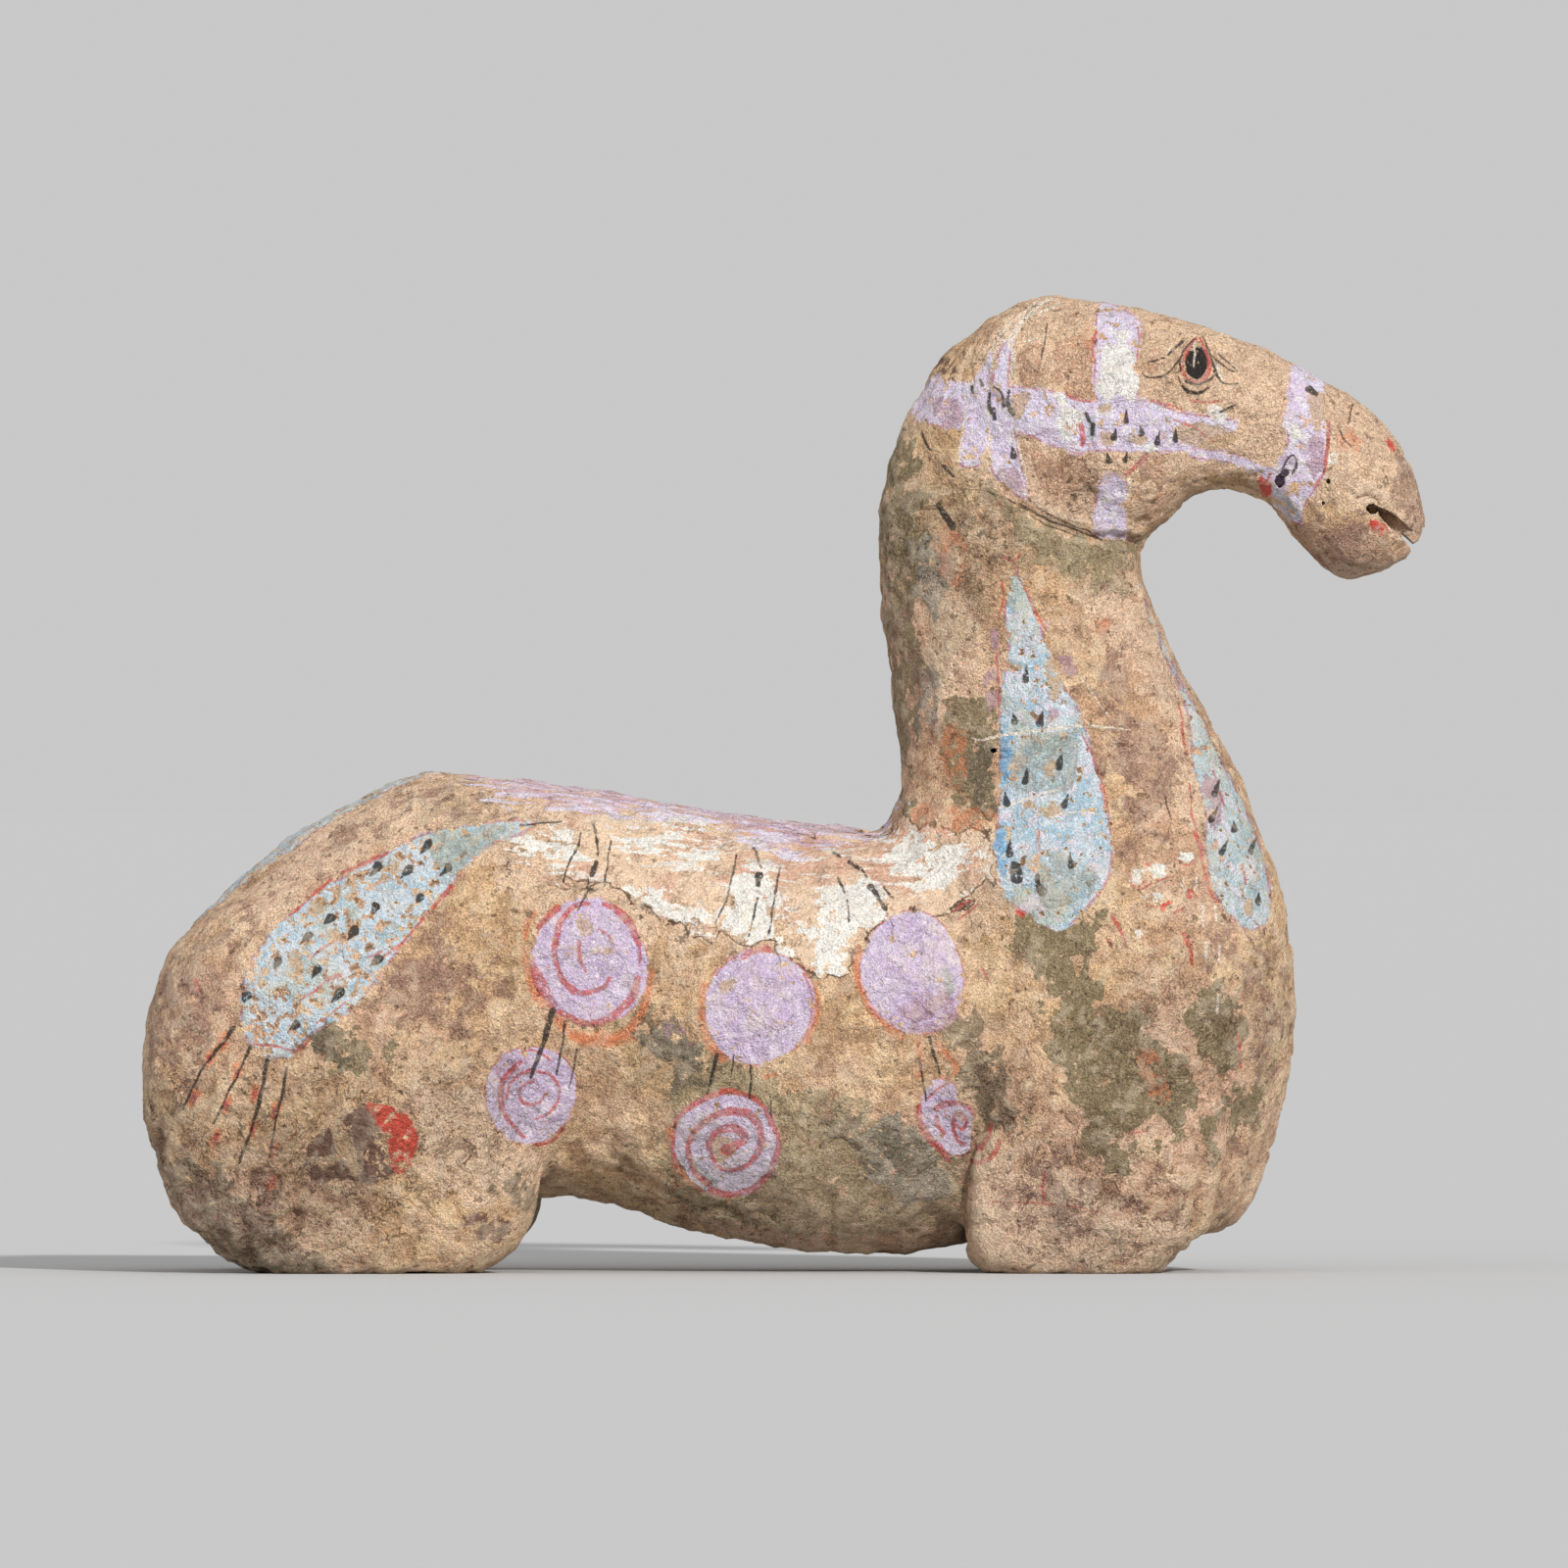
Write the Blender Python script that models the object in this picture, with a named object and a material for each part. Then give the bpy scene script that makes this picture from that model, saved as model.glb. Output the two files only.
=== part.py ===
"""Pottery horse figure: body, neck, head and four leg stumps, fired as one piece.

The horse faces +X, its left and right sides mirror each other across the plane Y = 0, and it
stands on the four cut-off stumps of its legs at Z = 0. The origin is under the middle of its
length. Sizes are in metres. The free form is built from ribs: each rib is a rounded ring laid
between two points of the side view.
"""

import math

import bmesh
import bpy
import numpy as np
from mathutils import Matrix, Vector

# Driving sizes, in metres.
LENGTH = 0.600
BODY_WIDTH = 0.164
HAUNCH_WIDTH = 0.176
SHOULDER_WIDTH = 0.168
CHEST_WIDTH = 0.160
HEAD_WIDTH = 0.086
LEG_GAP = 0.044
MOUTH_GAPE = 0.0045
BIT_HOLE_DIAMETER = 0.0065
MOUTH_HOLE_DIAMETER = 0.0045
NECK_VENT_DIAMETER = 0.0030
HOLE_DEPTH = 0.012

# How finely the form is made.
CLAY_GRAIN = LENGTH / 190
SOFTENING_ROUNDS = 7
TRIANGLE_BUDGET = 9200
RING_POINTS = 40
RINGS_PER_SPAN = 8
HOLE_SIDES = 12

PERCENT = LENGTH / 100

# A rib is (x, z, x, z, width share): two points of the side view, in hundredths of the length
# from the rump and up from the feet, and a share of the piece's own width. A limb's rib ends
# with the share of half the leg gap at which the limb's inner side lies.
BARREL_RIBS = (
    (0.2, 16.5, 0.2, 13.6, 0.28),  # tail
    (1.0, 21.2, 1.3, 10.2, 0.58),
    (4.1, 27.2, 4.1, 7.8, 0.78),  # buttocks
    (11.7, 33.7, 11.7, 5.8, 0.92),  # croup
    (20.1, 38.1, 19.4, 5.4, 0.95),
    (25.1, 38.7, 25.1, 5.7, 0.94),  # top of the rump
    (34.7, 37.4, 34.7, 5.7, 0.95),  # loin and flank
    (42.3, 36.2, 42.3, 3.2, 0.98),
    (50.0, 34.9, 50.0, 1.8, 1.00),  # belly
    (57.6, 34.2, 57.6, 1.5, 0.98),
    (65.3, 33.0, 64.1, 2.6, 0.93),  # withers and girth
    (76.7, 24.3, 76.7, 7.4, 0.50),  # inside the chest
)
CHEST_AND_NECK_RIBS = (
    (69.9, 3.2, 84.4, 3.2, 0.58),  # keel between the front stumps
    (63.7, 7.0, 87.0, 7.0, 0.82),
    (60.7, 14.7, 89.2, 14.7, 0.98),
    (59.5, 22.3, 89.8, 22.3, 0.99),  # fullest part of the chest
    (58.0, 30.0, 88.5, 30.0, 0.89),
    (58.2, 35.0, 86.8, 35.0, 0.74),  # root of the neck
    (59.3, 38.0, 85.7, 38.0, 0.66),
    (58.7, 42.5, 83.4, 42.5, 0.595),
    (57.8, 49.0, 80.1, 49.0, 0.525),
    (57.5, 55.5, 77.6, 55.2, 0.475),  # throat
    (58.3, 62.5, 78.0, 60.6, 0.44),
    (61.8, 70.2, 75.6, 66.4, 0.42),  # nape
    (67.6, 75.2, 71.4, 71.7, 0.18),  # inside the poll
)
HEAD_RIBS = (
    (62.4, 69.0, 64.1, 63.3, 0.50),  # back of the cheeks
    (65.3, 73.8, 66.0, 60.6, 0.82),
    (69.3, 76.0, 69.5, 59.1, 0.94),  # poll
    (72.9, 75.6, 73.7, 57.5, 1.00),
    (76.7, 74.9, 77.5, 56.9, 0.99),  # angle of the jaw
    (80.6, 74.0, 79.8, 58.8, 0.95),  # forehead
    (84.4, 72.8, 82.5, 60.7, 0.88),
    (88.2, 71.4, 85.3, 60.8, 0.80),  # bridge of the nose
    (92.0, 69.5, 88.2, 59.4, 0.73),
    (94.8, 68.0, 90.1, 57.2, 0.70),
    (98.6, 63.5, 93.6, 54.2, 0.66),  # nostrils and chin
    (100.1, 57.8, 98.4, 55.4, 0.36),  # lips
)
HAUNCH_RIBS = (
    (12.2, -0.9, 22.4, -0.9, 0.72, 1.40),  # underside of the stump
    (7.5, 0.7, 27.5, 0.7, 0.84, 1.10),
    (3.1, 5.1, 31.0, 5.1, 0.95, 0.90),
    (0.5, 12.6, 31.2, 11.6, 1.00, 0.35),
    (1.0, 20.2, 30.2, 19.0, 0.98, 0.05),
    (4.0, 26.4, 28.6, 24.8, 0.90, 0.00),
    (13.0, 33.0, 23.2, 32.0, 0.56, 0.00),  # top of the thigh
)
SHOULDER_RIBS = (
    (68.6, -0.9, 76.6, -0.9, 0.76, 1.35),  # underside of the stump
    (65.1, 0.8, 80.2, 0.9, 0.87, 1.08),
    (63.9, 4.5, 83.3, 4.8, 0.95, 0.92),
    (64.1, 13.5, 85.2, 13.5, 1.00, 0.40),
    (67.0, 24.0, 83.5, 24.0, 0.93, 0.00),
    (71.0, 31.0, 80.5, 31.0, 0.74, 0.00),  # point of the shoulder
)

# The power of each piece's rounded rings: 2 is a plain ellipse, and more is squarer.
BARREL_POWER = 2.1
NECK_POWER = 2.25
HEAD_POWER = 2.3
LIMB_POWER = 2.3

# The mouth's two ends and the three pairs of holes, in hundredths of the length.
MOUTH_CORNER = (95.7, 59.0)
MOUTH_OPENING = (100.4, 55.0)
BIT_HOLE_AT = (88.7, 61.8)
MOUTH_HOLE_AT = (95.9, 59.5)
NECK_VENT_AT = (66.2, 40.7)

# The slit's height at the mouth's corner, as a share of its gape.
CORNER_SHARE = 0.3

# How far the clay's skin lies from the middle at the holes, as shares of the piece's half width.
SKIN_AT_MUZZLE = 0.70
SKIN_AT_NECK = 0.58

CLAY_COLOUR = (0.56, 0.43, 0.30, 1.0)
CLAY_ROUGHNESS = 0.92


def clear_scene():
    for old in list(bpy.data.objects):
        bpy.data.objects.remove(old)


def place(x, z, y=0.0):
    """A point of the side view, given in hundredths of the length, as metres."""
    return Vector((x * PERCENT - LENGTH / 2, y, z * PERCENT))


def between(before, start, end, after, share):
    """A smooth curve through start and end, which leans on the values beyond them."""
    return 0.5 * (
        2 * start
        + (end - before) * share
        + (2 * before - 5 * start + 4 * end - after) * share**2
        + (3 * start - before - 3 * end + after) * share**3
    )


def eased(ribs):
    """The ribs with further ones between them, so that the form runs smoothly."""
    rows = np.array(ribs, float)
    first = 2 * rows[0] - rows[1]
    last = 2 * rows[-1] - rows[-2]
    padded = np.vstack([first, rows, last])
    steps = np.arange(RINGS_PER_SPAN) / RINGS_PER_SPAN
    made = [
        between(*padded[i : i + 4], step)
        for i in range(len(rows) - 1)
        for step in steps
    ]
    return made + [rows[-1]]


def rounded(turn, power):
    """Cosine and sine of a turn, pushed outwards for a power over 2."""
    return [math.copysign(abs(part) ** (2 / power), part) for part in (math.cos(turn), math.sin(turn))]


def ring_points(rib, inner, outer, power):
    """One rib's ring. It runs from inner to outer across the body, in metres of Y."""
    start, end = place(*rib[0:2]), place(*rib[2:4])
    middle = (start + end) / 2
    reach = (start - end) / 2
    centre_y, half_y = (inner + outer) / 2, (outer - inner) / 2
    points = []
    for step in range(RING_POINTS):
        along, across = rounded(2 * math.pi * step / RING_POINTS, power)
        point = middle + reach * along
        points.append((point.x, centre_y + half_y * across, point.z))
    return points


def add_loft(clay, ribs, width, power, gap=None):
    """Adds one closed, lofted lump of clay. With a gap it is a limb beside the middle."""
    rings = []
    for rib in eased(ribs):
        half = width / 2 * rib[4]
        inner = -half if gap is None else gap / 2 * rib[5]
        points = ring_points(rib, inner, half, power)
        rings.append([clay.verts.new(point) for point in points])
    for one, other in zip(rings, rings[1:]):
        for i in range(RING_POINTS):
            j = (i + 1) % RING_POINTS
            clay.faces.new((one[i], one[j], other[j], other[i]))
    clay.faces.new(list(reversed(rings[0])))
    clay.faces.new(rings[-1])


def mirrored(clay):
    """Adds the other side's copy of everything that clay holds."""
    found = bmesh.ops.duplicate(clay, geom=clay.verts[:] + clay.edges[:] + clay.faces[:])
    copies = [item for item in found["geom"] if isinstance(item, bmesh.types.BMVert)]
    bmesh.ops.scale(clay, vec=(1, -1, 1), verts=copies)
    faces = [item for item in found["geom"] if isinstance(item, bmesh.types.BMFace)]
    bmesh.ops.reverse_faces(clay, faces=faces)


def new_object(name, shape):
    bmesh.ops.recalc_face_normals(shape, faces=shape.faces)
    mesh = bpy.data.meshes.new(name)
    shape.to_mesh(mesh)
    shape.free()
    made = bpy.data.objects.new(name, mesh)
    bpy.context.scene.collection.objects.link(made)
    return made


def modelled_lumps():
    """The body, neck, head and four limbs as overlapping lumps in one object."""
    lumps = bmesh.new()
    add_loft(lumps, HAUNCH_RIBS, HAUNCH_WIDTH, LIMB_POWER, LEG_GAP)
    add_loft(lumps, SHOULDER_RIBS, SHOULDER_WIDTH, LIMB_POWER, LEG_GAP)
    mirrored(lumps)
    add_loft(lumps, BARREL_RIBS, BODY_WIDTH, BARREL_POWER)
    add_loft(lumps, CHEST_AND_NECK_RIBS, CHEST_WIDTH, NECK_POWER)
    add_loft(lumps, HEAD_RIBS, HEAD_WIDTH, HEAD_POWER)
    return new_object("pottery_horse", lumps)


def helper(made):
    """Marks a cutter, which is no part of the figure."""
    made.hide_render = True
    made.display_type = "WIRE"
    return made


def mouth_cutter():
    """A wedge across the muzzle: closed at the mouth's corner and widest at the lips."""
    corner, opening = place(*MOUTH_CORNER), place(*MOUTH_OPENING)
    along = (opening - corner).normalized()
    upward = Vector((-along.z, 0, along.x))
    half = HEAD_WIDTH / 2
    shape = bmesh.new()
    sides = []
    for y in (-half, half):
        outline = (
            corner + upward * MOUTH_GAPE / 2 * CORNER_SHARE,
            corner - upward * MOUTH_GAPE / 2 * CORNER_SHARE,
            opening - upward * MOUTH_GAPE / 2,
            opening + upward * MOUTH_GAPE / 2,
        )
        sides.append([shape.verts.new(point + Vector((0, y, 0))) for point in outline])
    near, far = sides
    for i in range(4):
        j = (i + 1) % 4
        shape.faces.new((near[i], near[j], far[j], far[i]))
    shape.faces.new(list(reversed(near)))
    shape.faces.new(far)
    return helper(new_object("mouth_cutter", shape))


def hole_cutter(name, at, diameter, skin_y):
    """Two round, blind holes, one in from each side, cut from well outside the skin."""
    shape = bmesh.new()
    turn = Matrix.Rotation(math.pi / 2, 4, "X")
    for side in (-1, 1):
        spot = place(*at, y=side * skin_y)
        bmesh.ops.create_cone(
            shape,
            cap_ends=True,
            segments=HOLE_SIDES,
            radius1=diameter / 2,
            radius2=diameter / 2,
            depth=2 * HOLE_DEPTH,
            matrix=Matrix.Translation(spot) @ turn,
        )
    return helper(new_object(name, shape))


def ground_cutter():
    """The slab below the feet, which cuts the stumps off flat."""
    shape = bmesh.new()
    size = 2 * LENGTH
    bmesh.ops.create_cube(shape, size=size, matrix=Matrix.Translation((0, 0, -size / 2)))
    return helper(new_object("ground_cutter", shape))


def cut(clay, cutter):
    modifier = clay.modifiers.new(cutter.name, "BOOLEAN")
    modifier.operation = "DIFFERENCE"
    modifier.solver = "EXACT"
    modifier.object = cutter


def settled(clay):
    """Replaces the object's mesh with what its modifiers make of it."""
    graph = bpy.context.evaluated_depsgraph_get()
    made = bpy.data.meshes.new_from_object(clay.evaluated_get(graph))
    clay.modifiers.clear()
    clay.data = made
    return clay


def kneaded(clay):
    """Runs the lumps together into one skin and softens the joins."""
    remesh = clay.modifiers.new("one_skin", "REMESH")
    remesh.mode = "VOXEL"
    remesh.voxel_size = CLAY_GRAIN
    soften = clay.modifiers.new("softened_joins", "SMOOTH")
    soften.factor = 0.5
    soften.iterations = SOFTENING_ROUNDS
    return settled(clay)


def thinned(clay):
    """Brings the skin down to the number of triangles that the form needs."""
    clay.data.calc_loop_triangles()
    fewer = clay.modifiers.new("fewer_faces", "DECIMATE")
    fewer.ratio = min(1.0, TRIANGLE_BUDGET / len(clay.data.loop_triangles))
    return settled(clay)


def trued(clay):
    """Gives the softened skin back its exact length, midway over the origin."""
    ends = [vertex.co.x for vertex in clay.data.vertices]
    middle = (min(ends) + max(ends)) / 2
    grown = LENGTH / (max(ends) - min(ends))
    clay.data.transform(Matrix.Scale(grown, 4) @ Matrix.Translation((-middle, 0, 0)))
    return clay


def pottery_material():
    material = bpy.data.materials.new("painted_pottery")
    material.use_nodes = True
    shader = material.node_tree.nodes["Principled BSDF"]
    shader.inputs["Base Color"].default_value = CLAY_COLOUR
    shader.inputs["Roughness"].default_value = CLAY_ROUGHNESS
    shader.inputs["Metallic"].default_value = 0.0
    return material


def build():
    clear_scene()
    horse = trued(thinned(kneaded(modelled_lumps())))
    horse.data.materials.clear()
    horse.data.materials.append(pottery_material())
    horse.data.shade_smooth()
    muzzle = SKIN_AT_MUZZLE * HEAD_WIDTH / 2
    neck = SKIN_AT_NECK * CHEST_WIDTH / 2
    cut(horse, ground_cutter())
    cut(horse, mouth_cutter())
    cut(horse, hole_cutter("bit_holes", BIT_HOLE_AT, BIT_HOLE_DIAMETER, muzzle))
    cut(horse, hole_cutter("mouth_holes", MOUTH_HOLE_AT, MOUTH_HOLE_DIAMETER, muzzle))
    cut(horse, hole_cutter("neck_vents", NECK_VENT_AT, NECK_VENT_DIAMETER, neck))


build()
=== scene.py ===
# %% [markdown]
# Painted pottery horse figure
#
# The real figure was pressed from clay, fired to a soft buff colour and painted cold, and its
# paint has worn and flaked in the ground. The form was modelled before, as a plain closed solid.
# This lesson loads that solid, gives a copy of it the skin of old clay, and paints the copy with
# nodes. It uses four of Blender's tools: mesh code for the modelled relief, Geometry Nodes for the
# clay skin, Booleans for the pierced holes, and shader nodes with attributes for the paint.

import math

import bmesh
import bpy
import numpy as np
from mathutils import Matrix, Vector


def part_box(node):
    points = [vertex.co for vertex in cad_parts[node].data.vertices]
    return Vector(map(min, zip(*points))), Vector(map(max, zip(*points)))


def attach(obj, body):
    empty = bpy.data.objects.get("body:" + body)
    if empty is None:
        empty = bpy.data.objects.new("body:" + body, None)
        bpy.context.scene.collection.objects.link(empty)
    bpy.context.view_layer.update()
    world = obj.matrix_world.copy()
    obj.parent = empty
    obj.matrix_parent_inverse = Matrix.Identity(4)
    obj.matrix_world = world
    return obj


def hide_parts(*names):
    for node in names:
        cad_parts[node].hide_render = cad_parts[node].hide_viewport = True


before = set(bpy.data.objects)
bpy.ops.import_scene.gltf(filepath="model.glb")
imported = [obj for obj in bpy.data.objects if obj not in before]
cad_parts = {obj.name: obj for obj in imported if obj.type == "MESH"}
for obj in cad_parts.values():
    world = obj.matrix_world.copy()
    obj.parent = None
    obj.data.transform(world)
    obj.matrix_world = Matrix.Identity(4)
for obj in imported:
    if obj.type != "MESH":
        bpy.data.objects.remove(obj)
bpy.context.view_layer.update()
horse_low, horse_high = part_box("pottery_horse")
print("the solid's box, in metres:", tuple(horse_low), tuple(horse_high))

# %% [markdown]
# One measure for the whole figure
#
# The figure is painted freehand, so its ornament has no plan to be drawn from. Its places are read
# off a square picture of the horse's right side instead, 1600 pixels wide. Three pixel values tie
# the picture to the solid: the columns of the rump and of the muzzle, and the row of the feet. A
# short function then turns any place in the picture, given as column and row, into metres on the
# solid. Every outline and every stroke below is written in such places.

# %% From the picture to metres
PICTURE_SIZE = 1600
RUMP_COLUMN = 147
MUZZLE_COLUMN = 1454
FEET_ROW = 1297
MILLIMETRE = 0.001

metres_per_pixel = (horse_high.x - horse_low.x) / (MUZZLE_COLUMN - RUMP_COLUMN)


def on_side(column, row):
    """A place in the picture as (x, z) in metres."""
    x = horse_low.x + (column - RUMP_COLUMN) * metres_per_pixel
    z = (FEET_ROW - row) * metres_per_pixel
    return x, z


def all_on_side(places):
    """Places in the picture, as rows of an array in metres."""
    return np.array([on_side(*place) for place in places])


print("one pixel is", round(metres_per_pixel / MILLIMETRE, 3), "mm")

# %% [markdown]
# A copy of the solid to work on
#
# The solid is made of about ten thousand loose triangles, which is right for weighing and
# handling, but far too few for a worn clay skin. The frame's own mesh is never changed. So the
# first step copies it and merges the corners that lie on one place.

# %% The merged copy
MERGE_WITHIN = 0.02 * MILLIMETRE

merged = bmesh.new()
merged.from_mesh(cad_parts["pottery_horse"].data)
bmesh.ops.remove_doubles(merged, verts=merged.verts, dist=MERGE_WITHIN)
print("merged corners:", len(merged.verts), "faces:", len(merged.faces))

# %% [markdown]
# Filling the mouth and the holes for now
#
# The next step lays a new even mesh over the form, and that would smear the narrow mouth and the
# small holes. They are filled first and cut again at the end, when the mesh is fine enough. Each
# filling is the convex hull of the skin round the opening: the horse is rounded there, so the hull
# lies level with the skin.

# %% Fillings
MOUTH_CORNER = (1398, 520)
MOUTH_OPENING = (1452, 562)
BIT_HOLE = (1306, 489)
NECK_VENT = (1013, 766)
FILL_REACH = 8 * MILLIMETRE
BOTH_SIDES = (-1, 1)


def distance_to(path, places):
    """For each place: its distance from the path, its share of the path, and its side of it.

    The side is 1 on the left of the path's direction, as seen in the picture, and -1 on the right.
    """
    nearest = np.full(len(places), np.inf)
    share = np.zeros(len(places))
    side = np.ones(len(places))
    lengths = np.linalg.norm(np.diff(path, axis=0), axis=1)
    travelled = np.concatenate([[0], np.cumsum(lengths)])
    for number, (start, end) in enumerate(zip(path[:-1], path[1:])):
        piece = end - start
        out = places - start
        along = np.clip(out @ piece / (piece @ piece), 0, 1)
        away = np.linalg.norm(out - along[:, None] * piece, axis=1)
        closer = away < nearest
        nearest[closer] = away[closer]
        share[closer] = (travelled[number] + along[closer] * lengths[number]) / travelled[-1]
        turn = piece[0] * out[:, 1] - piece[1] * out[:, 0]
        side[closer] = np.where(turn[closer] < 0, -1, 1)
    return nearest, share, side


def fill(clay, path, side=0):
    """Adds the convex hull of the skin near a path, on one side of the horse or on both."""
    corners = np.array([corner.co for corner in clay.verts])
    near = distance_to(all_on_side(path), corners[:, [0, 2]])[0] < FILL_REACH
    if side:
        near &= corners[:, 1] * side > 0
    copies = [clay.verts.new(corners[number]) for number in np.flatnonzero(near)]
    made = bmesh.ops.convex_hull(clay, input=copies)
    unused = [item for item in made["geom_interior"] if isinstance(item, bmesh.types.BMVert)]
    bmesh.ops.delete(clay, geom=unused, context="VERTS")


fill(merged, [MOUTH_CORNER, MOUTH_OPENING])
for column, row in (BIT_HOLE, NECK_VENT):
    for side in BOTH_SIDES:
        fill(merged, [(column, row), (column + 1, row)], side)
solid_copy = bpy.data.meshes.new("painted_horse")
merged.to_mesh(solid_copy)
merged.free()
horse = bpy.data.objects.new("painted_horse", solid_copy)
bpy.context.scene.collection.objects.link(horse)
print("filled copy:", len(solid_copy.vertices), "corners")

# %% [markdown]
# An even skin
#
# A voxel remesh wraps the form in even squares, which take relief well in every direction. The
# flat facets of the solid still show in it, so the skin is softened: every point moves towards the
# middle of its neighbours. Softening alone would shrink the form. So what it took away is softened
# too and added back, which keeps the large form and loses only the facets.

# %% Remesh and soften
SKIN_SPACING = 3.05 * MILLIMETRE
SOFTEN_ROUNDS = 16


def plain_result(piece):
    """Gives the piece the mesh that its modifiers make, and removes the modifiers."""
    graph = bpy.context.evaluated_depsgraph_get()
    made = bpy.data.meshes.new_from_object(piece.evaluated_get(graph))
    piece.modifiers.clear()
    old = piece.data
    piece.data = made
    bpy.data.meshes.remove(old)
    made.name = piece.name
    return made


def arrows_of(items, name):
    """One vector of every point or face of a mesh, as rows of an array."""
    flat = np.empty(len(items) * 3, np.float32)
    items.foreach_get(name, flat)
    return flat.reshape(-1, 3).astype(float)


def points_of(mesh):
    return arrows_of(mesh.vertices, "co")


def normals_of(mesh):
    return arrows_of(mesh.vertex_normals, "vector")


def move_points(mesh, points):
    mesh.vertices.foreach_set("co", points.astype(np.float32).ravel())
    mesh.update()


def averaged(mesh, values, rounds):
    """Each point's values, moved half of the way to its neighbours' mean, some times over."""
    edges = np.empty(len(mesh.edges) * 2, np.int32)
    mesh.edges.foreach_get("vertices", edges)
    one, other = edges.reshape(-1, 2).T
    count = np.bincount(edges, minlength=len(values))[:, None]
    for _ in range(rounds):
        total = np.empty_like(values)
        for axis in range(values.shape[1]):
            column = values[:, axis]
            total[:, axis] = np.bincount(one, column[other], len(values))
            total[:, axis] += np.bincount(other, column[one], len(values))
        values = 0.5 * values + 0.5 * total / count
    return values


def soften(mesh, rounds):
    """Smooths the facets away, and gives back the form that smoothing takes."""
    points = points_of(mesh)
    soft = averaged(mesh, points, rounds)
    lost = averaged(mesh, points - soft, rounds)
    move_points(mesh, soft + lost)


remesh = horse.modifiers.new("even_squares", "REMESH")
remesh.mode = "VOXEL"
remesh.voxel_size = SKIN_SPACING
skin = plain_result(horse)
soften(skin, SOFTEN_ROUNDS)
print("skin points:", len(skin.vertices), "faces:", len(skin.polygons))

# %% [markdown]
# Finer squares where the modelling is fine
#
# The head carries the eye, the mouth, the bit hole and the sharp edge of the cheek, all of them
# only a few millimetres wide. Its squares are cut into four. The rest of the skin keeps its size,
# which keeps the whole figure light.

# %% Finer head
JAW_LINE = [(965, 472), (1008, 486), (1041, 515), (1082, 538), (1120, 547), (1150, 551), (1172, 557)]
HEAD_MARGIN = 7 * MILLIMETRE
FINER_SOFTEN_ROUNDS = 2


def cut_finer(mesh, chosen):
    """Cuts the chosen faces into four."""
    work = bmesh.new()
    work.from_mesh(mesh)
    work.faces.ensure_lookup_table()
    edges = {edge for number in np.flatnonzero(chosen) for edge in work.faces[number].edges}
    bmesh.ops.subdivide_edges(work, edges=list(edges), cuts=1, use_grid_fill=True)
    work.to_mesh(mesh)
    work.free()


centres = arrows_of(skin.polygons, "center")
jaw_path = all_on_side(JAW_LINE)
jaw_height = np.interp(centres[:, 0], jaw_path[:, 0], jaw_path[:, 1])
above_jaw = centres[:, 2] > jaw_height - HEAD_MARGIN
in_front_of_nape = centres[:, 0] > jaw_path[0, 0] - HEAD_MARGIN
cut_finer(skin, above_jaw & in_front_of_nape)
soften(skin, FINER_SOFTEN_ROUNDS)
print("finer skin points:", len(skin.vertices))

# %% [markdown]
# Edges and hollows that the maker pressed in
#
# The cheek stands proud of the neck with a sharp dark edge under it, the thigh and the shoulder
# meet the belly in a crease, and the eye is a low bulge. Each of these follows a line or an oval
# in the side view, so each is made by moving skin points in or out along their normals, by an
# amount that eases away with the distance from that line. The two sides get the same modelling.

# %% Lines of the modelling
BROW_LINE = [(1185, 372), (1200, 350), (1220, 338), (1240, 350), (1262, 376)]
NOSTRIL_LINE = [(1376, 514), (1387, 506), (1400, 508), (1409, 519)]
HAUNCH_CREASE = [(505, 890), (516, 940), (522, 1000), (524, 1050), (520, 1080)]
ELBOW_CREASE = [(984, 1275), (986, 1200), (994, 1160), (1003, 1125), (994, 1080), (975, 1040)]
CHEST_EDGE = [(1232, 1120), (1224, 1190), (1214, 1265)]
CREST_LINE = [(938, 455), (925, 520), (922, 600), (925, 690), (934, 780), (948, 830)]
BELLY_STEP = [(846, 1190), (848, 1230), (850, 1280)]
NECK_FOLD = [(1042, 545), (1075, 567), (1110, 577), (1150, 583)]
print("the cheek's edge starts, in metres, at", on_side(*JAW_LINE[0]))

# %% Short calls for relief


def eased(share):
    """Nought to one, slow at both ends."""
    share = np.clip(share, 0, 1)
    return share * share * (3 - 2 * share)


def hill(distance, reach):
    """One at no distance, easing to nought at reach."""
    return eased(1 - np.abs(distance) / reach)


def fading(share, start, end):
    """Eases in over the first part of a path and out over the last part."""
    at_start = eased(share / start) if start else 1
    at_end = eased((1 - share) / end) if end else 1
    return at_start * at_end


def flowing(places, closed=True, pieces=4):
    """A smooth line through places in the picture, in metres of the side view."""
    places = all_on_side(places)
    if closed:
        places = np.vstack([places[-1:], places, places[:2]])
    else:
        places = np.vstack([2 * places[0] - places[1], places, 2 * places[-1] - places[-2]])
    made = []
    for before, start, end, after in zip(places, places[1:], places[2:], places[3:]):
        for step in np.arange(pieces) / pieces:
            made.append(
                start
                + (end - before) * step / 2
                + (before - 2.5 * start + 2 * end - 0.5 * after) * step**2
                + (1.5 * start - 0.5 * before - 1.5 * end + 0.5 * after) * step**3
            )
    made.append(places[-2])
    return np.array(made)


def crease(places, line, deep, reach, lip=0.0, lip_side=1, start=0.2, end=0.0):
    """A groove along a line in the side view, with a raised lip along one side of it.

    Depth, reach and lip are in millimetres. Start and end are the shares that fade.
    """
    away, share, side = distance_to(flowing(line, closed=False), places)
    groove = -deep * MILLIMETRE * hill(away, reach * MILLIMETRE)
    beside = away * side * lip_side - reach * MILLIMETRE
    raised = lip * MILLIMETRE * hill(beside, reach * MILLIMETRE)
    return (groove + raised) * fading(share, start, end)


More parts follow.
